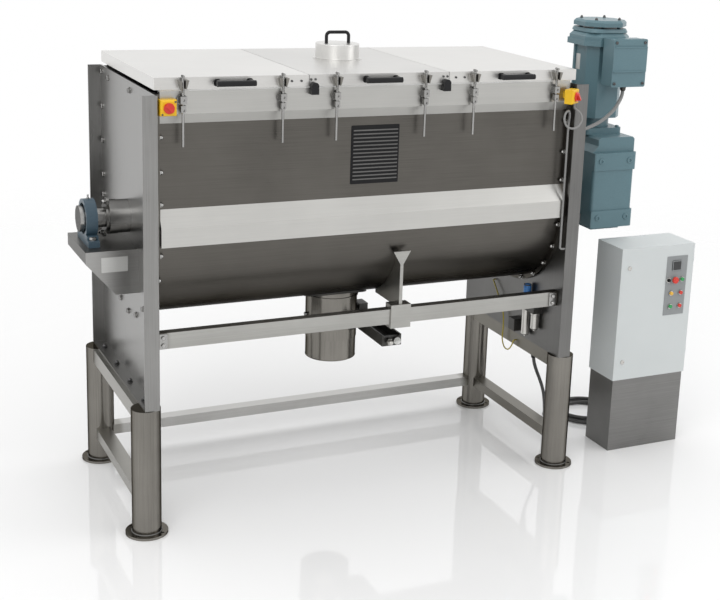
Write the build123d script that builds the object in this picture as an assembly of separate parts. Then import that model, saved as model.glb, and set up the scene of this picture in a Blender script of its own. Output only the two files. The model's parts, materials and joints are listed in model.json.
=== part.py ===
"""Ribbon blender for dry food powders, with its geared motor and its control cabinet.

Millimetres, +Z up. X runs along the mixing shaft towards the motor, and -Y is the operator's side.
Every piece is drawn about the middle of the trough, with the floor at Z = 0. At the end the whole
machine moves so that the origin lies on the floor under the middle of its outline.
"""
import os
from math import cos, pi, radians, sin, tan

from build123d import *

# Trough
TROUGH_LENGTH = 1800.0
TROUGH_RADIUS = 388.0
TROUGH_WALL = 4.0
TROUGH_FLANGE = 20.0
TROUGH_FLANGE_THICK = 14.0
SHAFT_HEIGHT = 1190.0
RIM_RISE = 557.0
RIM_FACE = 86.0
RIM_DEPTH = 22.0
RIM_SLOPE = 37.0
BELT_RISE = 110.0
BELT_SLOPE = 67.0
BELT_FACE = 74.0
BELT_DEPTH = 35.0
RAIL_WALL = 4.0
CROSS_BAR_WIDTH = 46.0
CROSS_BAR_HEIGHT = 36.0
SEAL_WIDTH = 14.0
SEAL_HEIGHT = 4.7

# End plates with folded flanges
PLATE_THICK = 8.0
PLATE_MARGIN = 31.0
PLATE_DROP = 668.0
PLATE_RIM_DROP = 11.0
PLATE_FLANGE = 51.0
PLATE_FLANGE_THICK = 6.0
PLATE_FOLD = 5.0

# Stand
LEG_DIAMETER = 114.3
LEG_WALL = 4.0
LEG_OUT = 35.0
LEG_INSET = 52.0
LEG_CAP = 6.0
FOOT_DIAMETER = 166.0
FOOT_THICK = 10.0
FOOT_BOLT_CIRCLE = 140.0
FOOT_BOLT_HOLE = 14.0
FOOT_DRAIN = 40.0
BEAM_WIDTH = 80.0
BEAM_HEIGHT = 60.0
STRETCHER_WIDTH = 60.0
STRETCHER_HEIGHT = 44.0
STRETCHER_TOP = 155.0
WELD_GAP = 0.1

# Front tie bar and the trough's support bracket
TIE_BAR_OUT = 8.0
TIE_BAR_DEPTH = 40.0
TIE_BAR_HEIGHT = 64.0
TIE_BAR_RISE = 14.0
TIE_BAR_WALL = 3.0
BRACKET_X = 131.0
BRACKET_HEAD = 77.0
BRACKET_DROP = 130.0
BRACKET_NECK = 14.0
BRACKET_SHOULDER = 55.0
BRACKET_REACH = 150.0
BRACKET_PLATE = 8.0
SADDLE_LENGTH = 90.0
SADDLE_WALL = 8.0
SADDLE_RISE = 18.0

# Lids
LID_OVERHANG = 4.0
LID_SKIRT = 45.0
LID_LIFT = 5.0
LID_SHEET = 3.0
LID_COUNT = 3
LID_SEAM_GAP = 2.0
LID_HINGE_OUT = 15.0
LID_HINGE_DROP = 32.0
HINGE_PIN_RADIUS = 6.0
HINGE_KNUCKLE_RADIUS = 11.0
HINGE_KNUCKLE_LENGTH = 40.0
HINGE_EAR = 12.0
HINGE_SPREAD = 190.0
RUNNING_FIT = 0.05
SIDE_PLAY = 0.3

# Lid handles and clamps
HANDLE_LENGTH = 150.0
HANDLE_RADIUS = 11.0
HANDLE_REACH = 38.0
HANDLE_ARM = 12.0
HANDLE_DROP = 22.0
CLAMP_END_INSET = 103.0
CLAMP_SEAM_INSET = 110.0
CLAMP_REACH = 16.0
CLAMP_ROD_RADIUS = 5.0
CLAMP_ROD_RISE = 10.0
CLAMP_ROD_LENGTH = 265.0
CLAMP_TEE_RADIUS = 4.5
CLAMP_TEE_LENGTH = 24.0
CLAMP_BOSS_RADIUS = 20.0
CLAMP_BOSS_THICK = 10.0
CLAMP_BOSS_DROP = 31.0
CLAMP_BLOCK = 24.0
CLAMP_BLOCK_HEIGHT = 28.0
CLAMP_COLLAR = 20.0
CLAMP_COLLAR_HEIGHT = 28.0
CLAMP_SOCKET_RADIUS = 4.5
CLAMP_SOCKET_DEPTH = 5.0
LUG_TOP = 20.0
LUG_FOOT = 11.0
LUG_HEIGHT = 32.0
LUG_REACH = 30.0
LUG_DROP = 8.0
LUG_SLOT = 14.0
LUG_WEB = 3.0

# Inlet in the middle lid
INLET_X = 5.0
INLET_Y = 50.0
INLET_RADIUS = 80.0
INLET_WALL = 3.0
INLET_HEIGHT = 50.0
INLET_FLANGE_RADIUS = 102.0
INLET_FLANGE_THICK = 3.0
CAP_RADIUS = 92.0
CAP_WALL = 3.0
CAP_HEIGHT = 62.0
CAP_HANDLE_SPAN = 100.0
CAP_HANDLE_RISE = 52.0
CAP_HANDLE_RADIUS = 7.0
CAP_HANDLE_BEND = 16.0

# Lid switches and isolators on the rim
SWITCH_INSET = 17.0
SWITCH_LENGTH = 30.0
SWITCH_HEIGHT = 24.0
SWITCH_HEAD_RADIUS = 15.0
SWITCH_REACH = 30.0
ISOLATOR_WIDTH = 62.0
ISOLATOR_HEIGHT = 60.0
ISOLATOR_DEPTH = 40.0
ISOLATOR_EDGE = 8.0
ISOLATOR_LEFT_INSET = 45.0
ISOLATOR_RIGHT_INSET = 42.0
ISOLATOR_TURN = 35.0
ISOLATOR_STAND_OFF = 50.0
ISOLATOR_DROP = 57.0
KNOB_RADIUS = 20.0
KNOB_THICK = 7.0
KNOB_GRIP = 9.0
KNOB_GRIP_HEIGHT = 10.0

# Mixing rotor
SHAFT_RADIUS = 40.0
SHAFT_OVERHANG = 196.0
SHAFT_END_GAP = 3.0
LOCK_COLLAR_RADIUS = 52.0
LOCK_COLLAR_LENGTH = 24.0
RIBBON_CLEARANCE = 12.0
RIBBON_END_CLEARANCE = 25.0
RIBBON_WIDTH = 46.0
RIBBON_THICK = 9.0
RIBBON_TURNS = 2.0
INNER_RIBBON_RADIUS = 190.0
INNER_RIBBON_WIDTH = 40.0
SPOKE_RADIUS = 14.0
SPOKE_COUNT = 5

# Shaft seals, bearings and their shelves
SEAL_BODY_RADIUS = 67.0
SEAL_BODY_LENGTH = 47.0
SEAL_RING_RADIUS = 69.0
SEAL_RING_LENGTH = 36.0
SEAL_GLAND_RADIUS = 54.0
SEAL_GLAND_HALF = 92.0
SEAL_GLAND_WIDTH = 36.0
SEAL_GLAND_THICK = 11.0
SEAL_GLAND_TURN = 22.0
SEAL_CLEARANCE = 0.4
BEARING_OUT = 156.0
BEARING_RADIUS = 78.0
BEARING_WIDTH = 44.0
BEARING_HEIGHT = 97.0
BEARING_BASE_LENGTH = 200.0
BEARING_BASE_THICK = 26.0
BEARING_RECESS_RADIUS = 62.0
BEARING_RECESS = 10.0
SHELF_REACH = 204.0
SHELF_HALF_WIDTH = 165.0
SHELF_PLATE = 8.0
SHELF_LIP = 48.0
SHELF_DEPTH = 178.0
SHELF_FOOT = 90.0
TORQUE_ARM_WIDTH = 40.0
TORQUE_ARM_HEIGHT = 36.0
TORQUE_ARM_Y = -100.0

# Geared motor
DRIVE_OUT = 378.0
GEARBOX_WIDTH = 220.0
GEARBOX_FRONT = -200.0
GEARBOX_BACK = 135.0
GEARBOX_DROP = 155.0
GEARBOX_RISE = 260.0
GEARBOX_ROUND = 14.0
GEARBOX_SHOULDER = 10.0
GEARBOX_INSET = 26.0
GEARBOX_SLOPE = 30.0
GEARBOX_PAD = 12.0
GEARBOX_PAD_LENGTH = 150.0
GEARBOX_PAD_INSET = 20.0
GEARBOX_BAND = 6.0
GEARBOX_BAND_HEIGHT = 80.0
GEARBOX_LOW_BAND = 0.0
GEARBOX_HIGH_BAND = 267.0
GEARBOX_END_CAP = 12.0
GEARBOX_END_CAP_RADIUS = 66.0
NECK_RADIUS = 70.0
NECK_FLANGE = 196.0
NECK_FLANGE_THICK = 28.0
NECK_ROUND = 20.0
MOTOR_STAND = 74.0
MOTOR_HEIGHT = 329.0
MOTOR_WIDTH = 196.0
MOTOR_CORNER = 42.0
MOTOR_FOOT = 14.0
MOTOR_PANEL = 84.0
MOTOR_PANEL_DEPTH = 6.0
COWL_WIDTH = 250.0
COWL_CORNER = 54.0
COWL_HEIGHT = 59.0
COWL_SKIRT = 26.0
COWL_STEP = 6.0
COWL_BEVEL = 18.0
CANOPY_WIDTH = 224.0
CANOPY_CORNER = 64.0
CANOPY_HEIGHT = 28.0
CANOPY_BEVEL = 10.0
CANOPY_LIFT = 26.0
CANOPY_POST_RADIUS = 8.0
CANOPY_POST_SPREAD = 62.0
TERMINAL_SHIFT = 26.0
TERMINAL_WIDTH = 180.0
TERMINAL_RISE = 160.0
TERMINAL_HEIGHT = 214.0
TERMINAL_BAND = 3.0
TERMINAL_BAND_LOW = 68.0
TERMINAL_BAND_HEIGHT = 112.0
TERMINAL_DEPTH = 87.0
TERMINAL_LID = 26.0
TERMINAL_STEP = 3.0
TERMINAL_NECK = 35.0
TERMINAL_NECK_MARGIN = 50.0
TERMINAL_ROUND = 8.0

# Discharge spout and its valve
SPOUT_RADIUS = 109.5
SPOUT_WALL = 4.0
SPOUT_X = -14.0
SPOUT_LENGTH = 296.0
SPIGOT_LENGTH = 92.0
VALVE_BODY_STEP = 2.5
SPOUT_FLANGE_STEP = 4.0
SPOUT_FLANGE_THICK = 6.0
SPOUT_FLANGE_DROP = 18.0
VALVE_DROP = 102.0
VALVE_DISC_THICK = 8.0
VALVE_DISC_PLAY = 0.5
VALVE_SHAFT_RADIUS = 8.0
VALVE_SHAFT_END = 12.0
VALVE_POINTER_LENGTH = 30.0
VALVE_POINTER_THICK = 8.0
ACTUATOR_GAP = 8.5
ACTUATOR_LENGTH = 40.0
ACTUATOR_WIDTH = 66.0
ACTUATOR_HEIGHT = 62.0
ACTUATOR_NECK_RADIUS = 16.0
ACTUATOR_ARM_WALL = 8.0
ACTUATOR_ARM_WIDTH = 88.0
ACTUATOR_ARM_SHIFT = 8.0
ACTUATOR_ARM_HEIGHT = 48.0
ACTUATOR_ARM_FRONT = 300.0
ACTUATOR_ARM_BACK = 30.0
ACTUATOR_END_BLOCK = 40.0
ACTUATOR_PORT_RADIUS = 13.0
ACTUATOR_PORT_LENGTH = 16.0
ACTUATOR_PORT_SPREAD = 36.0

# Air service unit on the right end plate
AIR_UNIT_Y = -180.0
AIR_UNIT_DROP = 60.0
AIR_BLOCK = 44.0
AIR_BLOCK_HEIGHT = 62.0
AIR_BOWL_RADIUS = 17.0
AIR_BOWL_HEIGHT = 125.0
AIR_FILTER_HEIGHT = 76.0
AIR_FILTER_SPREAD = 78.0
AIR_KNOB_HEIGHT = 50.0
AIR_VALVE_ASIDE = 88.0
AIR_VALVE_WIDTH = 52.0
AIR_VALVE_HEIGHT = 56.0
AIR_VALVE_DROP = 136.0

# Control cabinet
CABINET_OUT = 337.0
CABINET_WIDTH = 401.0
CABINET_FRONT = -378.0
CABINET_DEPTH = 200.0
CABINET_HEIGHT = 627.0
CABINET_SHEET = 2.0
DOOR_THICK = 20.0
DOOR_GAP = 0.3
DOOR_PIN_RADIUS = 3.0
DOOR_KNUCKLE_RADIUS = 6.0
DOOR_KNUCKLE_LENGTH = 26.0
DOOR_LEAF = 14.0
DOOR_HINGE_INSET = 90.0
PLINTH_HEIGHT = 348.0
PLINTH_SETBACK = 6.0
PANEL_INSET = 251.0
PANEL_WIDTH = 114.0
PANEL_RISE = 291.0
PANEL_HEIGHT = 282.0
PANEL_THICK = 2.0
DISPLAY_WIDTH = 50.0
DISPLAY_HEIGHT = 48.0
DISPLAY_THICK = 4.0
DISPLAY_ACROSS = 55.0
DISPLAY_RISE = 237.0
BEZEL_RADIUS = 11.5
BEZEL_HEIGHT = 5.0
BUTTON_RADIUS = 8.5
BUTTON_LENGTH = 11.0
BUTTON_HOLE_ROOM = 1.5
BUTTON_TRAVEL = 3.0
MUSHROOM_RADIUS = 16.0
MUSHROOM_THICK = 9.0
MUSHROOM_STAND = 5.0
SELECTOR_ACROSS = 13.0
MUSHROOM_ACROSS = 46.0
TOP_ROW_RIGHT_ACROSS = 88.0
LEFT_COLUMN_ACROSS = 33.0
RIGHT_COLUMN_ACROSS = 86.0
TOP_ROW_RISE = 170.0
MIDDLE_ROW_RISE = 106.0
LOW_ROW_RISE = 43.0
LOCK_INSET = 45.0
LOCK_TOP_DROP = 92.0
LOCK_LOW_RISE = 87.0
LOCK_RADIUS = 10.0
LOCK_STEM_RADIUS = 7.0
LOCK_THICK = 3.0
LOCK_STEM_LENGTH = 16.0
LOCK_KEY = 3.0
MAIN_SWITCH_INSET = 78.0
MAIN_SWITCH_DROP = 169.0
MAIN_SWITCH_BASE = 46.0
MAIN_SWITCH_BASE_THICK = 8.0

# Cables
MOTOR_CABLE_RADIUS = 8.0
LOOP_CABLE_RADIUS = 4.5
EARTH_WIRE_RADIUS = 3.0
SUPPLY_CABLE_RADIUS = 8.0
COIL_ACROSS = 158.0
COIL_BEHIND = 248.0
COIL_RADIUS = 140.0
COIL_BAND = 24.0
COIL_HEIGHT = 34.0
GLAND_RADIUS = 15.0
GLAND_LENGTH = 24.0
GLAND_OUT = 8.0
GLAND_Y = -90.0

# Places that follow from the sizes above
HALF = TROUGH_LENGTH / 2
WEB_INNER = HALF - PLATE_THICK
SHELL_END = WEB_INNER - TROUGH_FLANGE_THICK
TROUGH_BOTTOM = SHAFT_HEIGHT - TROUGH_RADIUS
RIM_TOP = SHAFT_HEIGHT + RIM_RISE
RIM_Y = TROUGH_RADIUS + RIM_DEPTH
BELT_TOP = SHAFT_HEIGHT + BELT_RISE
BELT_EDGE = BELT_TOP - BELT_SLOPE
BELT_BOTTOM = BELT_EDGE - BELT_FACE
PLATE_HALF_DEPTH = RIM_Y + PLATE_MARGIN
PLATE_BOTTOM = SHAFT_HEIGHT - PLATE_DROP
PLATE_TOP = RIM_TOP - PLATE_RIM_DROP
LEG_X = HALF + LEG_OUT
LEG_Y = PLATE_HALF_DEPTH - LEG_INSET
BEAM_LOW = PLATE_BOTTOM - BEAM_HEIGHT
TIE_BAR_FRONT = -TROUGH_RADIUS - TIE_BAR_OUT
TIE_BAR_TOP = TROUGH_BOTTOM + TIE_BAR_RISE
BRACKET_TOP = SHAFT_HEIGHT - BRACKET_DROP
LID_BOTTOM = RIM_TOP + LID_LIFT
LID_TOP = LID_BOTTOM + LID_SKIRT
LID_HALF_WIDTH = RIM_Y + LID_OVERHANG
LID_SEAM = HALF / LID_COUNT
LID_HINGE_Y = LID_HALF_WIDTH + LID_HINGE_OUT
LID_HINGE_Z = LID_TOP - LID_HINGE_DROP
CLAMP_Y = -(LID_HALF_WIDTH + CLAMP_REACH)
CLAMP_RIGHT_X = (LID_SEAM - CLAMP_SEAM_INSET, LID_SEAM + CLAMP_SEAM_INSET, HALF - CLAMP_END_INSET)
CLAMP_X = (*(-x for x in reversed(CLAMP_RIGHT_X)), *CLAMP_RIGHT_X)
CLAMP_BOSS_HEIGHT = RIM_TOP - CLAMP_BOSS_DROP
CLAMP_ROD_TOP = LID_TOP + CLAMP_ROD_RISE
CLAMP_ROD_BOTTOM = CLAMP_ROD_TOP - CLAMP_ROD_LENGTH
SWITCH_X = LID_SEAM - SWITCH_INSET
ISOLATOR_LEFT_X = -HALF + ISOLATOR_LEFT_INSET
ISOLATOR_RIGHT_X = HALF - ISOLATOR_RIGHT_INSET
ISOLATOR_MIDDLE = RIM_TOP - ISOLATOR_DROP
LID_SPANS = (
    (-HALF, -LID_SEAM - LID_SEAM_GAP / 2),
    (-LID_SEAM + LID_SEAM_GAP / 2, LID_SEAM - LID_SEAM_GAP / 2),
    (LID_SEAM + LID_SEAM_GAP / 2, HALF),
)
LID_NAMES = ("left", "middle", "right")
SHELF_TOP = SHAFT_HEIGHT - BEARING_HEIGHT
BEARING_X = HALF + BEARING_OUT
DRIVE_X = HALF + DRIVE_OUT
GEARBOX_LEFT = DRIVE_X - GEARBOX_WIDTH / 2
GEARBOX_RIGHT = DRIVE_X + GEARBOX_WIDTH / 2
GEARBOX_BOTTOM = SHAFT_HEIGHT - GEARBOX_DROP
GEARBOX_TOP = SHAFT_HEIGHT + GEARBOX_RISE
MOTOR_BOTTOM = GEARBOX_TOP + MOTOR_STAND
MOTOR_TOP = MOTOR_BOTTOM + MOTOR_HEIGHT
TERMINAL_X = DRIVE_X + TERMINAL_SHIFT
TERMINAL_BOTTOM = MOTOR_BOTTOM + TERMINAL_RISE
SHAFT_LEFT_END = -HALF - SHAFT_OVERHANG
SHAFT_RIGHT_END = GEARBOX_RIGHT - SHAFT_END_GAP
RIBBON_HALF = SHELL_END - RIBBON_END_CLEARANCE
RIBBON_TIP = TROUGH_RADIUS - TROUGH_WALL - RIBBON_CLEARANCE
RIBBON_CENTRE = RIBBON_TIP - RIBBON_WIDTH / 2
CABINET_LEFT = HALF + CABINET_OUT
CABINET_RIGHT = CABINET_LEFT + CABINET_WIDTH
CABINET_BACK = CABINET_FRONT + CABINET_DEPTH
CABINET_TOP = PLINTH_HEIGHT + CABINET_HEIGHT
CASE_FRONT = CABINET_FRONT + DOOR_THICK + DOOR_GAP
PANEL_FACE = CABINET_FRONT - PANEL_THICK
BEZEL_FACE = PANEL_FACE - BEZEL_HEIGHT
HINGE_X = CABINET_RIGHT + DOOR_KNUCKLE_RADIUS + SIDE_PLAY
HINGE_Y = CABINET_FRONT + DOOR_THICK
PANEL_LEFT = CABINET_LEFT + PANEL_INSET
PANEL_BOTTOM = PLINTH_HEIGHT + PANEL_RISE
DISPLAY_X = PANEL_LEFT + DISPLAY_ACROSS
DISPLAY_Z = PANEL_BOTTOM + DISPLAY_RISE
SELECTOR_X = PANEL_LEFT + SELECTOR_ACROSS
MUSHROOM_X = PANEL_LEFT + MUSHROOM_ACROSS
TOP_ROW_RIGHT_X = PANEL_LEFT + TOP_ROW_RIGHT_ACROSS
LEFT_COLUMN_X = PANEL_LEFT + LEFT_COLUMN_ACROSS
RIGHT_COLUMN_X = PANEL_LEFT + RIGHT_COLUMN_ACROSS
TOP_ROW_Z = PANEL_BOTTOM + TOP_ROW_RISE
MIDDLE_ROW_Z = PANEL_BOTTOM + MIDDLE_ROW_RISE
LOW_ROW_Z = PANEL_BOTTOM + LOW_ROW_RISE
LOCK_X = CABINET_LEFT + LOCK_INSET
LOCK_TOP_Z = CABINET_TOP - LOCK_TOP_DROP
LOCK_LOW_Z = PLINTH_HEIGHT + LOCK_LOW_RISE
MAIN_SWITCH_Y = CABINET_FRONT + MAIN_SWITCH_INSET
MAIN_SWITCH_Z = CABINET_TOP - MAIN_SWITCH_DROP
COIL_X = CABINET_LEFT + COIL_ACROSS
COIL_Y = CABINET_BACK + COIL_BEHIND
SPOUT_BORE = SPOUT_RADIUS - SPOUT_WALL
SPOUT_BOTTOM = TROUGH_BOTTOM - SPOUT_LENGTH
VALVE_BODY_BOTTOM = SPOUT_BOTTOM + SPIGOT_LENGTH
VALVE_BODY_RADIUS = SPOUT_RADIUS + VALVE_BODY_STEP
VALVE_HEIGHT = TROUGH_BOTTOM - VALVE_DROP
SPOUT_FLANGE_HEIGHT = TROUGH_BOTTOM - SPOUT_FLANGE_DROP
VALVE_SHAFT_LEFT = -VALVE_BODY_RADIUS - VALVE_SHAFT_END
AIR_UNIT_TOP = TROUGH_BOTTOM - AIR_UNIT_DROP
BUTTONS = {
    "button_green_top": (TOP_ROW_RIGHT_X, TOP_ROW_Z),
    "button_red_middle": (RIGHT_COLUMN_X, MIDDLE_ROW_Z),
    "button_green_low": (LEFT_COLUMN_X, LOW_ROW_Z),
    "button_red_low": (RIGHT_COLUMN_X, LOW_ROW_Z),
}
LAMP_PLACE = (LEFT_COLUMN_X, MIDDLE_ROW_Z)
LOCKS = {"door_lock_top": LOCK_TOP_Z, "door_lock_low": LOCK_LOW_Z}


def block(x0, x1, y0, y1, z0, z1):
    """A box between two corners."""
    middle = Pos((x0 + x1) / 2, (y0 + y1) / 2, (z0 + z1) / 2)
    return middle * Box(x1 - x0, y1 - y0, z1 - z0)


def bar_x(x0, x1, radius, y=0.0, z=0.0):
    """A round bar along X."""
    return Pos((x0 + x1) / 2, y, z) * Rot(0, 90, 0) * Cylinder(radius, x1 - x0)


def bar_y(y0, y1, radius, x=0.0, z=0.0):
    """A round bar along Y."""
    return Pos(x, (y0 + y1) / 2, z) * Rot(90, 0, 0) * Cylinder(radius, y1 - y0)


def bar_z(z0, z1, radius, x=0.0, y=0.0):
    """A round bar along Z."""
    return Pos(x, y, (z0 + z1) / 2) * Cylinder(radius, z1 - z0)


def prism_x(outline, x0, x1):
    """An outline of (y, z) points carried along X."""
    face = make_face(Polyline(*outline, close=True))
    return Pos(x0, 0, 0) * extrude(Plane.YZ * face, x1 - x0)


def prism_y(outline, y0, y1):
    """An outline of (x, z) points carried along Y."""
    face = make_face(Polyline(*outline, close=True))
    return Pos(0, y1, 0) * extrude(Plane.XZ * face, y1 - y0)


def folded_rail(outline, half_length):
    """A closed rail of folded sheet along X, hollow and open at its ends."""
    face = make_face(Polyline(*outline, close=True))
    hollow = offset(face, amount=-RAIL_WALL, kind=Kind.INTERSECTION)
    return Pos(-half_length, 0, 0) * extrude(Plane.YZ * (face - hollow), 2 * half_length)


def other_side(shape):
    """The same piece mirrored to the other end of the shaft."""
    return mirror(shape, about=Plane.YZ)


def back_side(shape):
    """The same piece mirrored to the rear of the machine."""
    return mirror(shape, about=Plane.XZ)


def u_section(radius, top):
    """The filled U of the trough, as a face of (y, z): a half disc under straight walls."""
    walls = Pos(0, (SHAFT_HEIGHT + top) / 2) * Rectangle(2 * radius, top - SHAFT_HEIGHT)
    return Pos(0, SHAFT_HEIGHT) * Circle(radius) + walls


def u_prism(radius, top, x0, x1):
    """The filled U of the trough carried along X."""
    return Pos(x0, 0, 0) * extrude(Plane.YZ * u_section(radius, top), x1 - x0)


def trough_shell():
    """The U shell with a bolting flange at each end and the discharge hole in its bottom."""
    flange_radius = TROUGH_RADIUS + TROUGH_FLANGE
    inner_radius = TROUGH_RADIUS - TROUGH_WALL
    shell = u_prism(TROUGH_RADIUS, RIM_TOP, -SHELL_END, SHELL_END)
    for x0 in (-WEB_INNER, SHELL_END):
        shell += u_prism(flange_radius, PLATE_TOP, x0, x0 + TROUGH_FLANGE_THICK)
    shell -= u_prism(inner_radius, RIM_TOP + TROUGH_WALL, -HALF, HALF)
    return shell - bar_z(SPOUT_BOTTOM, SHAFT_HEIGHT, SPOUT_BORE, SPOUT_X)


def trough_rails():
    """Rim rails, belt rails and the cross bars under the lid seams."""
    rim_low = RIM_TOP - RIM_FACE
    rim_outline = (
        (-TROUGH_RADIUS, RIM_TOP),
        (-RIM_Y, RIM_TOP),
        (-RIM_Y, rim_low),
        (-TROUGH_RADIUS, rim_low - RIM_SLOPE),
    )
    belt_out = TROUGH_RADIUS + BELT_DEPTH
    belt_outline = (
        (-TROUGH_RADIUS, BELT_TOP),
        (-belt_out, BELT_EDGE),
        (-belt_out, BELT_BOTTOM),
        (-TROUGH_RADIUS, BELT_BOTTOM),
    )
    rim = folded_rail(rim_outline, SHELL_END)
    belt = folded_rail(belt_outline, SHELL_END)
    half_bar = CROSS_BAR_WIDTH / 2
    bar_end = TROUGH_RADIUS - TROUGH_WALL
    bars = []
    for x in (-LID_SEAM, LID_SEAM):
        bars.append(block(x - half_bar, x + half_bar, -bar_end, bar_end, RIM_TOP - CROSS_BAR_HEIGHT, RIM_TOP))
    return [rim, back_side(rim), belt, back_side(belt), *bars]


def rim_seal():
    """The sealing strip under the lid skirts, with a strip on each cross bar."""
    top = RIM_TOP + SEAL_HEIGHT
    outer_y = RIM_Y
    seal = block(-SHELL_END, SHELL_END, -outer_y, outer_y, RIM_TOP, top)
    seal -= block(
        -SHELL_END + SEAL_WIDTH, SHELL_END - SEAL_WIDTH,
        -outer_y + SEAL_WIDTH, outer_y - SEAL_WIDTH, RIM_TOP, top,
    )
    inner_y = outer_y - SEAL_WIDTH
    for x in (-LID_SEAM, LID_SEAM):
        seal += block(x - SEAL_WIDTH / 2, x + SEAL_WIDTH / 2, -inner_y, inner_y, RIM_TOP, top)
    return seal


def end_plate():
    """The left end plate: one sheet folded outwards along its upright edges and its foot."""
    out = HALF + PLATE_FLANGE
    plate = block(-out, -WEB_INNER, -PLATE_HALF_DEPTH, PLATE_HALF_DEPTH, PLATE_BOTTOM, PLATE_TOP)
    inner_y = PLATE_HALF_DEPTH - PLATE_FLANGE_THICK
    plate -= block(-out, -HALF, -inner_y, inner_y, PLATE_BOTTOM + PLATE_FLANGE_THICK, PLATE_TOP)
    folds = plate.edges().filter_by(Axis.Z).group_by(Axis.X)[-1]
    plate = fillet(folds, PLATE_FOLD)
    return plate - bar_x(-out, 0, SHAFT_RADIUS + 2 * SEAL_CLEARANCE, z=SHAFT_HEIGHT)


def leg(x, y):
    """A tube leg with a cap, a round foot plate, its bolt holes and a drain."""
    radius = LEG_DIAMETER / 2
    tube = bar_z(0, PLATE_BOTTOM, radius, x, y) + bar_z(0, FOOT_THICK, FOOT_DIAMETER / 2, x, y)
    tube -= bar_z(FOOT_THICK, PLATE_BOTTOM - LEG_CAP, radius - LEG_WALL, x, y)
    tube -= bar_z(0, FOOT_THICK, FOOT_DRAIN / 2, x, y)
    for turn in (45, 135, 225, 315):
        hole_x = x + FOOT_BOLT_CIRCLE / 2 * cos(radians(turn))
        hole_y = y + FOOT_BOLT_CIRCLE / 2 * sin(radians(turn))
        tube -= bar_z(0, FOOT_THICK, FOOT_BOLT_HOLE / 2, hole_x, hole_y)
    return tube


def frame_beams():
    """The beams on the leg tops, the low stretchers cut to their legs, and the front tie bar."""
    beam_in = WEB_INNER
    half_stretcher = STRETCHER_WIDTH / 2
    low = STRETCHER_TOP - STRETCHER_HEIGHT
    rear = block(-LEG_X, LEG_X, LEG_Y - half_stretcher, LEG_Y + half_stretcher, low, STRETCHER_TOP)
    upper = block(beam_in, beam_in + BEAM_WIDTH, -LEG_Y, LEG_Y, BEAM_LOW, PLATE_BOTTOM)
    side = block(LEG_X - half_stretcher, LEG_X + half_stretcher, -LEG_Y, LEG_Y, low, STRETCHER_TOP)
    cut = LEG_DIAMETER / 2 + WELD_GAP
    for x in (-LEG_X, LEG_X):
        for y in (-LEG_Y, LEG_Y):
            rear -= bar_z(0, PLATE_BOTTOM, cut, x, y)
            upper -= bar_z(0, PLATE_BOTTOM, cut, x, y)
            side -= bar_z(0, PLATE_BOTTOM, cut, x, y)
    return [upper + supply_gland(), other_side(upper), side, other_side(side), rear, tie_bar()]


def tie_bar():
    """The square tube across the front, between the end plates."""
    front = TIE_BAR_FRONT
    back = front + TIE_BAR_DEPTH
    low = TIE_BAR_TOP - TIE_BAR_HEIGHT
    wall = TIE_BAR_WALL
    bar = block(-WEB_INNER, WEB_INNER, front, back, low, TIE_BAR_TOP)
    return bar - block(-WEB_INNER, WEB_INNER, front + wall, back - wall, low + wall, TIE_BAR_TOP - wall)


def support_bracket():
    """The T plate and rib that carry the trough on a saddle round the tie bar."""
    front = TIE_BAR_FRONT
    back = front + TIE_BAR_DEPTH
    low = TIE_BAR_TOP - TIE_BAR_HEIGHT
    saddle_top = TIE_BAR_TOP + SADDLE_RISE
    half_head = BRACKET_HEAD / 2
    half_neck = BRACKET_NECK / 2
    half_saddle = SADDLE_LENGTH / 2
    shoulder = BRACKET_TOP - BRACKET_SHOULDER
    face = (
        (BRACKET_X - half_head, BRACKET_TOP),
        (BRACKET_X + half_head, BRACKET_TOP),
        (BRACKET_X + half_neck, shoulder),
        (BRACKET_X + half_neck, TIE_BAR_TOP),
        (BRACKET_X - half_neck, TIE_BAR_TOP),
        (BRACKET_X - half_neck, shoulder),
    )
    rib_outline = (
        (front, BRACKET_TOP),
        (-BRACKET_REACH, BRACKET_TOP),
        (-BRACKET_REACH, TIE_BAR_TOP),
        (front, TIE_BAR_TOP),
    )
    half_rib = BRACKET_PLATE / 2
    bracket = prism_x(rib_outline, BRACKET_X - half_rib, BRACKET_X + half_rib)
    bracket += prism_y(face, front, front + BRACKET_PLATE)
    bracket -= bar_x(-HALF, HALF, TROUGH_RADIUS + WELD_GAP, z=SHAFT_HEIGHT)
    saddle = block(
        BRACKET_X - half_saddle, BRACKET_X + half_saddle,
        front - SADDLE_WALL, back + SADDLE_WALL, low - SADDLE_RISE, saddle_top,
    )
    return bracket + saddle - block(
        BRACKET_X - SADDLE_LENGTH, BRACKET_X + SADDLE_LENGTH, front, back, low, TIE_BAR_TOP
    )


def hinge_places(span):
    """The X places of the two hinges of a lid."""
    middle = (span[0] + span[1]) / 2
    return (middle - HINGE_SPREAD, middle + HINGE_SPREAD)


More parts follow.
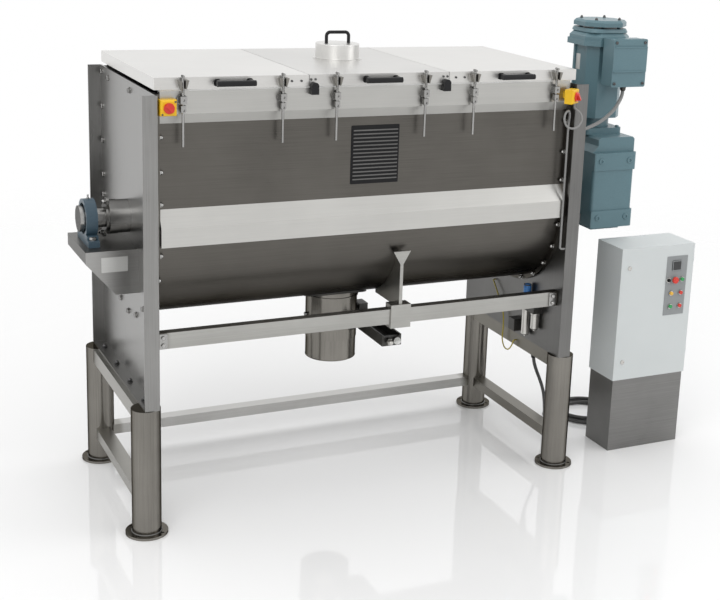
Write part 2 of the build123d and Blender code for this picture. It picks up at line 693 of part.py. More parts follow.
def lid(span):
    """A folded lid pan with slotted clamp lugs in front and hinge knuckles behind."""
    x0, x1 = span
    pan = block(x0, x1, -LID_HALF_WIDTH, LID_HALF_WIDTH, LID_BOTTOM, LID_TOP)
    pan -= block(
        x0 + LID_SHEET, x1 - LID_SHEET, -LID_HALF_WIDTH + LID_SHEET, LID_HALF_WIDTH - LID_SHEET,
        LID_BOTTOM, LID_TOP - LID_SHEET,
    )
    lug_top = LID_TOP - LUG_DROP
    front = -LID_HALF_WIDTH
    for x in CLAMP_X:
        if x0 < x < x1:
            outline = (
                (x - LUG_TOP, lug_top),
                (x + LUG_TOP, lug_top),
                (x + LUG_FOOT, lug_top - LUG_HEIGHT),
                (x - LUG_FOOT, lug_top - LUG_HEIGHT),
            )
            lug = prism_y(outline, front - LUG_REACH, front)
            half_slot = LUG_SLOT / 2
            pan += lug - block(
                x - half_slot, x + half_slot, front - LUG_REACH, front - LUG_WEB,
                lug_top - LUG_HEIGHT, lug_top,
            )
    half_knuckle = HINGE_KNUCKLE_LENGTH / 2
    for x in hinge_places(span):
        arm = block(
            x - half_knuckle, x + half_knuckle, LID_HALF_WIDTH, LID_HINGE_Y,
            LID_HINGE_Z, LID_HINGE_Z + HINGE_KNUCKLE_RADIUS,
        )
        arm += bar_x(x - half_knuckle, x + half_knuckle, HINGE_KNUCKLE_RADIUS, LID_HINGE_Y, LID_HINGE_Z)
        pan += arm
    bore = HINGE_PIN_RADIUS + RUNNING_FIT
    return pan - bar_x(x0, x1, bore, LID_HINGE_Y, LID_HINGE_Z)


def middle_lid(span):
    """The middle lid, with the hole of the inlet."""
    return lid(span) - bar_z(LID_BOTTOM, LID_TOP, INLET_RADIUS - INLET_WALL, INLET_X, INLET_Y)


def hinge_brackets():
    """Six hinge brackets on the rear rim rail, each with two ears and its pin."""
    half_knuckle = HINGE_KNUCKLE_LENGTH / 2 + SIDE_PLAY
    rim_low = RIM_TOP - RIM_FACE
    outline = (
        (RIM_Y, rim_low + HINGE_EAR),
        (LID_HINGE_Y, rim_low + HINGE_EAR),
        (LID_HINGE_Y + HINGE_KNUCKLE_RADIUS, LID_HINGE_Z),
        (LID_HINGE_Y - HINGE_KNUCKLE_RADIUS, LID_HINGE_Z),
        (LID_HINGE_Y - HINGE_KNUCKLE_RADIUS, RIM_TOP - SIDE_PLAY),
        (RIM_Y, RIM_TOP - SIDE_PLAY),
    )
    brackets = []
    for span in LID_SPANS:
        for x in hinge_places(span):
            piece = bar_x(
                x - half_knuckle - HINGE_EAR, x + half_knuckle + HINGE_EAR,
                HINGE_PIN_RADIUS, LID_HINGE_Y, LID_HINGE_Z,
            )
            for start in (x - half_knuckle - HINGE_EAR, x + half_knuckle):
                piece += prism_x(outline, start, start + HINGE_EAR)
                piece += bar_x(start, start + HINGE_EAR, HINGE_KNUCKLE_RADIUS, LID_HINGE_Y, LID_HINGE_Z)
            brackets.append(piece)
    return brackets


def lid_handle(span):
    """A round grip on two arms that stand on the lid's skirt."""
    middle = (span[0] + span[1]) / 2
    half = HANDLE_LENGTH / 2
    skirt = -LID_HALF_WIDTH
    y = skirt - HANDLE_REACH
    z = LID_TOP - HANDLE_DROP
    grip = bar_x(middle - half, middle + half, HANDLE_RADIUS, y, z)
    for start in (middle - half + HANDLE_ARM / 2, middle + half - 1.5 * HANDLE_ARM):
        grip += block(start, start + HANDLE_ARM, y, skirt, z - HANDLE_RADIUS, z + HANDLE_RADIUS)
    return grip


def clamp_rod(x):
    """A quarter-turn clamp rod with its cross pin and the collar under the guide block."""
    tee_height = CLAMP_ROD_TOP - CLAMP_TEE_RADIUS
    rod = bar_z(CLAMP_ROD_BOTTOM, tee_height, CLAMP_ROD_RADIUS, x, CLAMP_Y)
    half_tee = CLAMP_TEE_LENGTH / 2
    rod += bar_y(CLAMP_Y - half_tee, CLAMP_Y + half_tee, CLAMP_TEE_RADIUS, x, tee_height)
    top = CLAMP_BOSS_HEIGHT - CLAMP_BOSS_RADIUS - SIDE_PLAY
    low = top - CLAMP_COLLAR_HEIGHT
    half = CLAMP_COLLAR / 2
    face = Pos(x, low + half) * Circle(half)
    face += Pos(x, (low + half + top) / 2) * Rectangle(CLAMP_COLLAR, top - low - half)
    collar = Pos(0, CLAMP_Y + half, 0) * extrude(Plane.XZ * face, CLAMP_COLLAR)
    socket_front = CLAMP_Y - half
    collar -= bar_y(socket_front, socket_front + CLAMP_SOCKET_DEPTH, CLAMP_SOCKET_RADIUS, x, low + half)
    return rod + collar


def clamp_guide(x):
    """A round boss on the rim with the guide block of a clamp rod."""
    half = CLAMP_BLOCK / 2
    half_high = CLAMP_BLOCK_HEIGHT / 2
    boss_front = -RIM_Y - CLAMP_BOSS_THICK
    guide = bar_y(boss_front, -RIM_Y, CLAMP_BOSS_RADIUS, x, CLAMP_BOSS_HEIGHT)
    guide += block(
        x - half, x + half, CLAMP_Y - half, boss_front,
        CLAMP_BOSS_HEIGHT - half_high, CLAMP_BOSS_HEIGHT + half_high,
    )
    guide -= bar_z(CLAMP_ROD_BOTTOM, CLAMP_ROD_TOP, CLAMP_ROD_RADIUS + RUNNING_FIT, x, CLAMP_Y)
    front = CLAMP_Y - half
    return guide - bar_y(front, front + CLAMP_SOCKET_DEPTH, CLAMP_SOCKET_RADIUS, x, CLAMP_BOSS_HEIGHT)


def inlet_spigot():
    """The inlet tube with its flange, welded to the middle lid."""
    tube = bar_z(LID_TOP, LID_TOP + INLET_FLANGE_THICK, INLET_FLANGE_RADIUS, INLET_X, INLET_Y)
    tube += bar_z(LID_TOP, LID_TOP + INLET_HEIGHT, INLET_RADIUS, INLET_X, INLET_Y)
    return tube - bar_z(LID_TOP, LID_TOP + INLET_HEIGHT, INLET_RADIUS - INLET_WALL, INLET_X, INLET_Y)


def inlet_cap():
    """The loose cap over the inlet tube."""
    low = LID_TOP + INLET_FLANGE_THICK
    top = low + CAP_HEIGHT
    cap = bar_z(low, top, CAP_RADIUS, INLET_X, INLET_Y)
    cap = fillet(cap.edges().group_by(Axis.Z)[-1], CAP_WALL)
    return cap - bar_z(low, top - CAP_WALL, CAP_RADIUS - CAP_WALL, INLET_X, INLET_Y)


def cap_handle():
    """A bent round bar on top of the cap."""
    foot = LID_TOP + INLET_FLANGE_THICK + CAP_HEIGHT
    top = foot + CAP_HANDLE_RISE - CAP_HANDLE_RADIUS
    half = CAP_HANDLE_SPAN / 2
    path = FilletPolyline(
        (INLET_X - half, INLET_Y, foot),
        (INLET_X - half, INLET_Y, top),
        (INLET_X + half, INLET_Y, top),
        (INLET_X + half, INLET_Y, foot),
        radius=CAP_HANDLE_BEND,
    )
    section = Plane(origin=path @ 0, z_dir=path % 0) * Circle(CAP_HANDLE_RADIUS)
    return sweep(section, path=path)


def lid_switch(x):
    """A lid switch: a foot on the rim rail and a round head beside the lid skirt."""
    half = SWITCH_LENGTH / 2
    skirt_gap = -LID_HALF_WIDTH - SIDE_PLAY
    front = -RIM_Y - SWITCH_REACH
    foot = block(x - half, x + half, front, -RIM_Y, RIM_TOP - SWITCH_HEIGHT, RIM_TOP - SIDE_PLAY)
    head_z = RIM_TOP + SWITCH_HEAD_RADIUS / 2
    return foot + bar_y(front, skirt_gap, SWITCH_HEAD_RADIUS, x, head_z)


def isolator_box(yaw):
    """An isolator housing about its own middle, with rounded front edges."""
    box = Box(ISOLATOR_WIDTH, ISOLATOR_DEPTH, ISOLATOR_HEIGHT)
    front = box.faces().sort_by(Axis.Y)[0]
    box = fillet(front.edges(), ISOLATOR_EDGE)
    return Rot(0, 0, yaw) * box


def isolator_boxes():
    """Both isolators on the rim: one flat on it, one turned towards the motor."""
    left_y = -RIM_Y - ISOLATOR_DEPTH / 2
    left = Pos(ISOLATOR_LEFT_X, left_y, ISOLATOR_MIDDLE) * isolator_box(0)
    right_y = -RIM_Y - ISOLATOR_STAND_OFF
    right = Pos(ISOLATOR_RIGHT_X, right_y, ISOLATOR_MIDDLE) * isolator_box(ISOLATOR_TURN)
    half = ISOLATOR_DEPTH / 3
    right += block(
        ISOLATOR_RIGHT_X - half, ISOLATOR_RIGHT_X + half, right_y, -RIM_Y,
        ISOLATOR_MIDDLE - half, ISOLATOR_MIDDLE + half,
    )
    return [left, right]


def isolator_knob(x, y, yaw):
    """A rotary knob with a grip bar, standing on the front of an isolator."""
    face = -ISOLATOR_DEPTH / 2 - SIDE_PLAY
    knob = bar_y(face - KNOB_THICK, face, KNOB_RADIUS)
    grip = block(
        -KNOB_RADIUS + 2, KNOB_RADIUS - 2, face - KNOB_THICK - KNOB_GRIP_HEIGHT, face - KNOB_THICK,
        -KNOB_GRIP / 2, KNOB_GRIP / 2,
    )
    knob += Rot(0, 45, 0) * grip
    return Pos(x, y, ISOLATOR_MIDDLE) * Rot(0, 0, yaw) * knob


def shaft():
    """The mixing shaft, with a locking collar at its free end."""
    bar = bar_x(SHAFT_LEFT_END, SHAFT_RIGHT_END, SHAFT_RADIUS, z=SHAFT_HEIGHT)
    collar_end = SHAFT_LEFT_END + LOCK_COLLAR_LENGTH
    return bar + bar_x(SHAFT_LEFT_END, collar_end, LOCK_COLLAR_RADIUS, z=SHAFT_HEIGHT)


def ribbon(radius, width, left_handed, start):
    """A flat ribbon wound along the shaft, its width standing radially."""
    length = 2 * RIBBON_HALF
    path = Helix(length / RIBBON_TURNS, length, radius, lefthand=left_handed)
    plane = Plane(origin=path @ 0, x_dir=(1, 0, 0), z_dir=path % 0)
    wound = sweep(plane * Rectangle(width, RIBBON_THICK), path=path, is_frenet=True)
    upright = Pos(-RIBBON_HALF, 0, SHAFT_HEIGHT) * Rot(0, 90, 0) * Rot(0, 0, start)
    return upright * wound


def spokes():
    """Round arms through the shaft, one at each half turn of the outer ribbons."""
    arms = []
    reach = RIBBON_CENTRE
    for number in range(SPOKE_COUNT):
        share = (number + 0.5) / SPOKE_COUNT
        x = -RIBBON_HALF + 2 * RIBBON_HALF * share
        turn = 360 * RIBBON_TURNS * share
        arm = Rot(0, 0, turn) * bar_x(-reach, reach, SPOKE_RADIUS)
        arms.append(Pos(x, 0, SHAFT_HEIGHT) * Rot(0, 90, 0) * arm)
    return arms


def seal_housing():
    """The stepped housing of the left shaft seal, with the two-lobed flange of its packing gland."""
    ring_start = HALF + SEAL_BODY_LENGTH
    gland_start = ring_start + SEAL_RING_LENGTH
    gland_end = gland_start + SEAL_GLAND_THICK
    half_width = SEAL_GLAND_WIDTH / 2
    lobes = block(-gland_end, -gland_start, -half_width, half_width, -SEAL_GLAND_HALF, SEAL_GLAND_HALF)
    lobes = fillet(lobes.edges().filter_by(Axis.X), 0.9 * half_width)
    lobes += bar_x(-gland_end, -gland_start, SEAL_GLAND_RADIUS)
    housing = bar_x(-ring_start, -HALF, SEAL_BODY_RADIUS, z=SHAFT_HEIGHT)
    housing += bar_x(-gland_start, -ring_start, SEAL_RING_RADIUS, z=SHAFT_HEIGHT)
    housing += Pos(0, 0, SHAFT_HEIGHT) * Rot(SEAL_GLAND_TURN, 0, 0) * lobes
    return housing - bar_x(-gland_end, -HALF, SHAFT_RADIUS + SEAL_CLEARANCE, z=SHAFT_HEIGHT)


def pillow_block():
    """The left pillow block: a ring with recessed faces on a long foot."""
    half = BEARING_WIDTH / 2
    half_base = BEARING_BASE_LENGTH / 2
    ring = bar_x(-BEARING_X - half, -BEARING_X + half, BEARING_RADIUS, z=SHAFT_HEIGHT)
    ring += block(
        -BEARING_X - half, -BEARING_X + half, -half_base, half_base,
        SHELF_TOP, SHELF_TOP + BEARING_BASE_THICK,
    )
    ring += block(
        -BEARING_X - half, -BEARING_X + half, -BEARING_RADIUS, BEARING_RADIUS,
        SHELF_TOP, SHELF_TOP + 1.6 * BEARING_BASE_THICK,
    )
    for x0 in (-BEARING_X - half, -BEARING_X + half - BEARING_RECESS):
        ring -= bar_x(x0, x0 + BEARING_RECESS, BEARING_RECESS_RADIUS, z=SHAFT_HEIGHT)
    return ring - bar_x(-BEARING_X - half, -BEARING_X + half, SHAFT_RADIUS + RUNNING_FIT, z=SHAFT_HEIGHT)


def bearing_shelf():
    """The left bearing shelf: a top plate, two tapered cheeks and an end plate."""
    end = HALF + SHELF_REACH
    under = SHELF_TOP - SHELF_PLATE
    cheek = (
        (-HALF, SHELF_TOP),
        (-end, SHELF_TOP),
        (-end, SHELF_TOP - SHELF_LIP),
        (-HALF - SHELF_FOOT, SHELF_TOP - SHELF_DEPTH),
        (-HALF, SHELF_TOP - SHELF_DEPTH),
    )
    shelf = prism_y(cheek, -SHELF_HALF_WIDTH, SHELF_HALF_WIDTH)
    inside = SHELF_HALF_WIDTH - SHELF_PLATE
    return shelf - block(-end + SHELF_PLATE, -HALF, -inside, inside, SHELF_TOP - SHELF_DEPTH, under)


def bearing_shelves():
    """Both shelves; the right one carries the torque arm of the gearbox."""
    left = bearing_shelf()
    half_arm = TORQUE_ARM_WIDTH / 2
    arm_top = SHELF_TOP - SHELF_PLATE
    arm = block(
        HALF + SHELF_REACH - SHELF_PLATE, GEARBOX_LEFT, TORQUE_ARM_Y - half_arm, TORQUE_ARM_Y + half_arm,
        arm_top - TORQUE_ARM_HEIGHT, arm_top,
    )
    return [left, other_side(left) + arm]


def gearbox():
    """The bevel gear housing, with a set-in head, raised bands, a shaft bore and the motor neck."""
    step = GEARBOX_BOTTOM + GEARBOX_HIGH_BAND + GEARBOX_BAND_HEIGHT
    shoulder = GEARBOX_TOP - GEARBOX_SHOULDER
    head_left = GEARBOX_LEFT + GEARBOX_INSET
    outline = (
        (GEARBOX_LEFT, step),
        (head_left, step + GEARBOX_SLOPE),
        (head_left, shoulder),
        (head_left + GEARBOX_SHOULDER, GEARBOX_TOP),
        (GEARBOX_RIGHT - GEARBOX_SHOULDER, GEARBOX_TOP),
        (GEARBOX_RIGHT, shoulder),
        (GEARBOX_RIGHT, step),
    )
    body = block(GEARBOX_LEFT, GEARBOX_RIGHT, GEARBOX_FRONT, GEARBOX_BACK, GEARBOX_BOTTOM, step)
    body = fillet(body.edges().filter_by(Axis.Z), GEARBOX_ROUND)
    body += prism_y(outline, GEARBOX_FRONT + GEARBOX_ROUND, GEARBOX_BACK - GEARBOX_ROUND)
    for band_low in (GEARBOX_LOW_BAND, GEARBOX_HIGH_BAND):
        low = GEARBOX_BOTTOM + band_low
        high = low + GEARBOX_BAND_HEIGHT
        band = block(
            GEARBOX_LEFT - GEARBOX_BAND, GEARBOX_RIGHT + GEARBOX_BAND,
            GEARBOX_FRONT - GEARBOX_BAND, GEARBOX_BACK, low, high,
        )
        band = fillet(band.edges().filter_by(Axis.Z), GEARBOX_ROUND)
        body += band & block(
            GEARBOX_LEFT, GEARBOX_RIGHT + GEARBOX_BAND,
            GEARBOX_FRONT - GEARBOX_BAND, GEARBOX_BACK, low, high,
        )
    flange_top = GEARBOX_TOP + NECK_FLANGE_THICK
    half_flange = NECK_FLANGE / 2
    flange = block(
        DRIVE_X - half_flange, DRIVE_X + half_flange, -half_flange, half_flange, GEARBOX_TOP, flange_top
    )
    body += fillet(flange.edges().filter_by(Axis.Z), NECK_ROUND)
    body += bar_z(flange_top, MOTOR_BOTTOM, NECK_RADIUS, DRIVE_X)
    pad_left = GEARBOX_LEFT + GEARBOX_PAD_INSET
    body += block(
        pad_left, pad_left + GEARBOX_PAD_LENGTH, GEARBOX_FRONT + GEARBOX_PAD_INSET,
        GEARBOX_BACK - GEARBOX_PAD_INSET, GEARBOX_BOTTOM - GEARBOX_PAD, GEARBOX_BOTTOM,
    )
    cap_end = GEARBOX_RIGHT + GEARBOX_END_CAP
    body += bar_x(GEARBOX_RIGHT, cap_end, GEARBOX_END_CAP_RADIUS, z=SHAFT_HEIGHT)
    return body - bar_x(GEARBOX_LEFT, GEARBOX_RIGHT, SHAFT_RADIUS + RUNNING_FIT, z=SHAFT_HEIGHT)


def motor():
    """The eight-sided motor frame with sunk panels, upright on the gearbox."""
    section = eight_sided(MOTOR_WIDTH, MOTOR_CORNER)
    sunk = MOTOR_WIDTH / 2 - MOTOR_PANEL_DEPTH / 2
    for side in (0, 90, 180):
        section -= Rot(0, 0, side) * Pos(sunk, 0) * Rectangle(MOTOR_PANEL_DEPTH, MOTOR_PANEL)
    frame = extrude(section, MOTOR_HEIGHT) + extrude(eight_sided(MOTOR_WIDTH, MOTOR_CORNER), MOTOR_FOOT)
    return Pos(DRIVE_X, 0, MOTOR_BOTTOM) * frame


def eight_sided(width, corner):
    """A square face with its corners cut off."""
    return chamfer(Rectangle(width, width).vertices(), corner)


def fan_cowl():
    """The fan cowl with the rain canopy on its four posts."""
    hood = extrude(eight_sided(COWL_WIDTH - 2 * COWL_STEP, COWL_CORNER), COWL_HEIGHT)
    hood = chamfer(hood.faces().sort_by(Axis.Z)[-1].edges(), COWL_BEVEL)
    cowl = hood + extrude(eight_sided(COWL_WIDTH, COWL_CORNER), COWL_SKIRT)
    canopy = extrude(eight_sided(CANOPY_WIDTH, CANOPY_CORNER), CANOPY_HEIGHT)
    canopy = chamfer(canopy.faces().sort_by(Axis.Z)[-1].edges(), CANOPY_BEVEL)
    canopy_low = COWL_HEIGHT + CANOPY_LIFT
    cowl += Pos(0, 0, canopy_low) * canopy
    for x in (-CANOPY_POST_SPREAD, CANOPY_POST_SPREAD):
        for y in (-CANOPY_POST_SPREAD, CANOPY_POST_SPREAD):
            cowl += bar_z(COWL_HEIGHT, canopy_low, CANOPY_POST_RADIUS, x, y)
    return Pos(DRIVE_X, 0, MOTOR_TOP) * cowl


def terminal_box():
    """The terminal box on the motor's front, with a neck behind and a stepped lid."""
    half = TERMINAL_WIDTH / 2
    back = -MOTOR_WIDTH / 2 - TERMINAL_NECK
    front = back - TERMINAL_DEPTH
    top = TERMINAL_BOTTOM + TERMINAL_HEIGHT
    seam = front + TERMINAL_LID
    inset = half - TERMINAL_NECK_MARGIN
    box = block(TERMINAL_X - half, TERMINAL_X + half, front, seam, TERMINAL_BOTTOM, top)
    box = fillet(box.edges().filter_by(Axis.Y), TERMINAL_ROUND)
    band_low = TERMINAL_BOTTOM + TERMINAL_BAND_LOW
    box += block(
        TERMINAL_X - half, TERMINAL_X + half, front - TERMINAL_BAND, front,
        band_low, band_low + TERMINAL_BAND_HEIGHT,
    )
    step = TERMINAL_STEP
    body = block(
        TERMINAL_X - half + step, TERMINAL_X + half - step, seam, back, TERMINAL_BOTTOM + step, top - step
    )
    neck_top = MOTOR_TOP - TERMINAL_NECK_MARGIN
    neck = block(
        TERMINAL_X - inset, TERMINAL_X + inset, back, -MOTOR_WIDTH / 2,
        TERMINAL_BOTTOM + TERMINAL_NECK_MARGIN, neck_top,
    )
    return box + body + neck


def outlet_spout():
    """The valve body, cut to the trough, with its seam ring, the shaft holes and the spigot below."""
    spout = bar_z(SPOUT_BOTTOM, VALVE_BODY_BOTTOM, SPOUT_RADIUS)
    spout += bar_z(VALVE_BODY_BOTTOM, SHAFT_HEIGHT, VALVE_BODY_RADIUS)
    flange_top = SPOUT_FLANGE_HEIGHT + SPOUT_FLANGE_THICK
    spout += bar_z(SPOUT_FLANGE_HEIGHT, flange_top, VALVE_BODY_RADIUS + SPOUT_FLANGE_STEP)
    spout -= bar_z(SPOUT_BOTTOM, SHAFT_HEIGHT, SPOUT_BORE)
    spout -= bar_x(-VALVE_BODY_RADIUS, VALVE_BODY_RADIUS, VALVE_SHAFT_RADIUS + RUNNING_FIT, z=VALVE_HEIGHT)
    return spout - bar_x(-HALF, HALF, TROUGH_RADIUS + WELD_GAP, z=SHAFT_HEIGHT)


def valve_disc():
    """The butterfly disc on its shaft, with the position pointer outside the actuator."""
    actuator_end = VALVE_BODY_RADIUS + ACTUATOR_GAP + ACTUATOR_LENGTH
    half = VALVE_DISC_THICK / 2
    disc = bar_z(VALVE_HEIGHT - half, VALVE_HEIGHT + half, SPOUT_BORE - VALVE_DISC_PLAY)
    pointer_start = actuator_end + SIDE_PLAY
    pointer_end = pointer_start + VALVE_POINTER_THICK
    disc += bar_x(VALVE_SHAFT_LEFT, pointer_end, VALVE_SHAFT_RADIUS, z=VALVE_HEIGHT)
    half_pointer = VALVE_POINTER_LENGTH / 2
    return disc + block(
        pointer_start, pointer_end, -half_pointer, half_pointer,
        VALVE_HEIGHT - VALVE_SHAFT_RADIUS, VALVE_HEIGHT + VALVE_SHAFT_RADIUS,
    )


def valve_actuator():
    """The rotary actuator beside the spout, on a channel arm with two air ports at its front."""
    start = VALVE_BODY_RADIUS + ACTUATOR_GAP
    end = start + ACTUATOR_LENGTH
    half_width = ACTUATOR_WIDTH / 2
    low = VALVE_HEIGHT - ACTUATOR_HEIGHT / 2
    body = block(start, end, -half_width, half_width, low, low + ACTUATOR_HEIGHT)
    body += bar_x(0, start, ACTUATOR_NECK_RADIUS, z=VALVE_HEIGHT)
    left = start - ACTUATOR_ARM_SHIFT
    right = left + ACTUATOR_ARM_WIDTH
    floor = low - ACTUATOR_ARM_HEIGHT
    front = -ACTUATOR_ARM_FRONT
    wall = ACTUATOR_ARM_WALL
    arm = block(left, right, front, ACTUATOR_ARM_BACK, floor, low)
    arm -= block(left + wall, right - wall, front, -half_width, floor + wall, low)
    middle = (left + right) / 2
    half_end = ACTUATOR_END_BLOCK / 2
    end_middle = floor + ACTUATOR_ARM_HEIGHT / 2
    arm += block(left, right, front, front + half_end, floor, floor + ACTUATOR_END_BLOCK)
    for x in (middle - ACTUATOR_PORT_SPREAD / 2, middle + ACTUATOR_PORT_SPREAD / 2):
        arm += bar_y(front - ACTUATOR_PORT_LENGTH, front, ACTUATOR_PORT_RADIUS, x, end_middle)
    body += arm
    body -= bar_z(SPOUT_BOTTOM, SHAFT_HEIGHT, VALVE_BODY_RADIUS + WELD_GAP)
    return body - bar_x(0, end, VALVE_SHAFT_RADIUS + RUNNING_FIT, z=VALVE_HEIGHT)


def at_spout(shape):
    """A piece of the discharge, moved from the middle of the trough to the spout."""
    return Pos(SPOUT_X, 0, 0) * shape


def air_unit():
    """A filter and a regulator with its knob, and the valve block, on the inner face of the right end plate."""
    half = AIR_BLOCK / 2
    low = AIR_UNIT_TOP - AIR_BLOCK_HEIGHT
    back = WEB_INNER - AIR_BLOCK
    middle = WEB_INNER - half
    filter_y = AIR_UNIT_Y - AIR_FILTER_SPREAD
    unit = block(back, WEB_INNER, filter_y - half, AIR_UNIT_Y + half, low, AIR_UNIT_TOP)
    unit += bar_z(low - AIR_BOWL_HEIGHT, low, AIR_BOWL_RADIUS, middle, AIR_UNIT_Y)
    unit += bar_z(low - AIR_FILTER_HEIGHT, low, AIR_BOWL_RADIUS, middle, filter_y)
    unit += bar_z(AIR_UNIT_TOP, AIR_UNIT_TOP + AIR_KNOB_HEIGHT, AIR_BOWL_RADIUS, middle, AIR_UNIT_Y)
    valve_y = AIR_UNIT_Y + AIR_VALVE_ASIDE
    valve_top = AIR_UNIT_TOP - AIR_VALVE_DROP
    half_valve = AIR_VALVE_WIDTH / 2
    valve = block(
        back, WEB_INNER, valve_y - half_valve, valve_y + half_valve, valve_top - AIR_VALVE_HEIGHT, valve_top
    )
    return [unit, valve]


def door_knuckle(middle, upper):
    """Half of a door hinge: a round knuckle outside the cabinet's right edge, on a short leaf."""
    low = middle + SIDE_PLAY if upper else middle - DOOR_KNUCKLE_LENGTH
    high = middle + DOOR_KNUCKLE_LENGTH if upper else middle - SIDE_PLAY
    knuckle = bar_z(low, high, DOOR_KNUCKLE_RADIUS, HINGE_X, HINGE_Y)
    leaf_start = HINGE_Y - DOOR_LEAF if upper else CASE_FRONT
    leaf_end = HINGE_Y - DOOR_GAP if upper else HINGE_Y + DOOR_LEAF
    knuckle += block(CABINET_RIGHT, HINGE_X, leaf_start, leaf_end, low, high)
    return knuckle


def hinge_middles():
    """The heights of the two door hinges."""
    return (PLINTH_HEIGHT + DOOR_HINGE_INSET, CABINET_TOP - DOOR_HINGE_INSET)


def cabinet_case():
    """The cabinet's sheet case, open in front, with the base of the main switch."""
    case = block(CABINET_LEFT, CABINET_RIGHT, CASE_FRONT, CABINET_BACK, PLINTH_HEIGHT, CABINET_TOP)
    sheet = CABINET_SHEET
    case -= block(
        CABINET_LEFT + sheet, CABINET_RIGHT - sheet, CASE_FRONT, CABINET_BACK - sheet,
        PLINTH_HEIGHT + sheet, CABINET_TOP - sheet,
    )
    for middle in hinge_middles():
        low = middle - DOOR_KNUCKLE_LENGTH
        case += door_knuckle(middle, False)
        case += bar_z(low, middle + DOOR_KNUCKLE_LENGTH, DOOR_PIN_RADIUS, HINGE_X, HINGE_Y)
    half = MAIN_SWITCH_BASE / 2
    return case + block(
        CABINET_RIGHT, CABINET_RIGHT + MAIN_SWITCH_BASE_THICK, MAIN_SWITCH_Y - half, MAIN_SWITCH_Y + half,
        MAIN_SWITCH_Z - half, MAIN_SWITCH_Z + half,
    )


def main_switch():
    """The rotary handle of the main switch on the cabinet's right side."""
    face = CABINET_RIGHT + MAIN_SWITCH_BASE_THICK + SIDE_PLAY
    knob = bar_x(face, face + KNOB_THICK, KNOB_RADIUS, MAIN_SWITCH_Y, MAIN_SWITCH_Z)
    reach = KNOB_RADIUS - 2
    return knob + block(
        face + KNOB_THICK, face + KNOB_THICK + KNOB_GRIP_HEIGHT,
        MAIN_SWITCH_Y - KNOB_GRIP / 2, MAIN_SWITCH_Y + KNOB_GRIP / 2,
        MAIN_SWITCH_Z - reach, MAIN_SWITCH_Z + reach,
    )


def cabinet_plinth():
    """The steel plinth under the cabinet, open below, with the hole of the supply cable."""
    setback = PLINTH_SETBACK
    x0 = CABINET_LEFT + setback
    x1 = CABINET_RIGHT - setback
    y0 = CABINET_FRONT + setback
    y1 = CABINET_BACK - setback
    sheet = CABINET_SHEET
    plinth = block(x0, x1, y0, y1, 0, PLINTH_HEIGHT)
    return plinth - block(x0 + sheet, x1 - sheet, y0 + sheet, y1 - sheet, 0, PLINTH_HEIGHT - sheet)


def control_places():
    """The (x, z) places of everything that passes through the control panel."""
    return [(SELECTOR_X, TOP_ROW_Z), (MUSHROOM_X, TOP_ROW_Z), *BUTTONS.values()]


def cabinet_door():
    """The folded door pan, with holes for the controls and the locks."""
    back = CABINET_FRONT + DOOR_THICK
    door = block(CABINET_LEFT, CABINET_RIGHT, CABINET_FRONT, back, PLINTH_HEIGHT, CABINET_TOP)
    sheet = CABINET_SHEET
    door -= block(
        CABINET_LEFT + sheet, CABINET_RIGHT - sheet, CABINET_FRONT + sheet, back,
        PLINTH_HEIGHT + sheet, CABINET_TOP - sheet,
    )
    for x, z in control_places():
        door -= bar_y(CABINET_FRONT, back, BUTTON_RADIUS + BUTTON_HOLE_ROOM, x, z)
    for z in LOCKS.values():
        door -= bar_y(CABINET_FRONT, back, LOCK_STEM_RADIUS + RUNNING_FIT, LOCK_X, z)
    for middle in hinge_middles():
        door += door_knuckle(middle, True)
        top = middle + DOOR_KNUCKLE_LENGTH
        door -= bar_z(middle, top, DOOR_PIN_RADIUS + RUNNING_FIT, HINGE_X, HINGE_Y)
    return door


def control_panel():
    """The grey control panel with the display, the lamp and a bezel round each control."""
    right = PANEL_LEFT + PANEL_WIDTH
    panel = block(PANEL_LEFT, right, PANEL_FACE, CABINET_FRONT, PANEL_BOTTOM, PANEL_BOTTOM + PANEL_HEIGHT)
    panel += block(
        DISPLAY_X - DISPLAY_WIDTH / 2, DISPLAY_X + DISPLAY_WIDTH / 2, PANEL_FACE - DISPLAY_THICK, PANEL_FACE,
        DISPLAY_Z - DISPLAY_HEIGHT / 2, DISPLAY_Z + DISPLAY_HEIGHT / 2,
    )
    lamp_x, lamp_z = LAMP_PLACE
    panel += bar_y(BEZEL_FACE - BEZEL_HEIGHT, PANEL_FACE, BUTTON_RADIUS, lamp_x, lamp_z)
    for x, z in (*control_places(), LAMP_PLACE):
        panel += bar_y(BEZEL_FACE, PANEL_FACE, BEZEL_RADIUS, x, z)
    for x, z in control_places():
        panel -= bar_y(BEZEL_FACE, CABINET_FRONT, BUTTON_RADIUS + RUNNING_FIT, x, z)
    return panel


def push_button(place):
    """A push button cap that slides in its bezel."""
    x, z = place
    front = BEZEL_FACE - BUTTON_TRAVEL - LOCK_THICK
    return bar_y(front, front + BUTTON_LENGTH, BUTTON_RADIUS, x, z)


def stop_mushroom():
    """The red mushroom head on its stem."""
    face = BEZEL_FACE - MUSHROOM_STAND
    head = bar_y(face - MUSHROOM_THICK, face, MUSHROOM_RADIUS, MUSHROOM_X, TOP_ROW_Z)
    head = fillet(head.edges().group_by(Axis.Y)[0], MUSHROOM_THICK / 2)
    return head + bar_y(face, PANEL_FACE, BUTTON_RADIUS, MUSHROOM_X, TOP_ROW_Z)


def key_selector():
    """The selector with a short lever across its face."""
    front = BEZEL_FACE - LOCK_THICK
    body = bar_y(front, CABINET_FRONT, BUTTON_RADIUS, SELECTOR_X, TOP_ROW_Z)
    return body + block(
        SELECTOR_X - LOCK_KEY, SELECTOR_X + LOCK_KEY, front - BUTTON_RADIUS, front,
        TOP_ROW_Z - BUTTON_RADIUS / 2, TOP_ROW_Z + BUTTON_RADIUS / 2,
    )


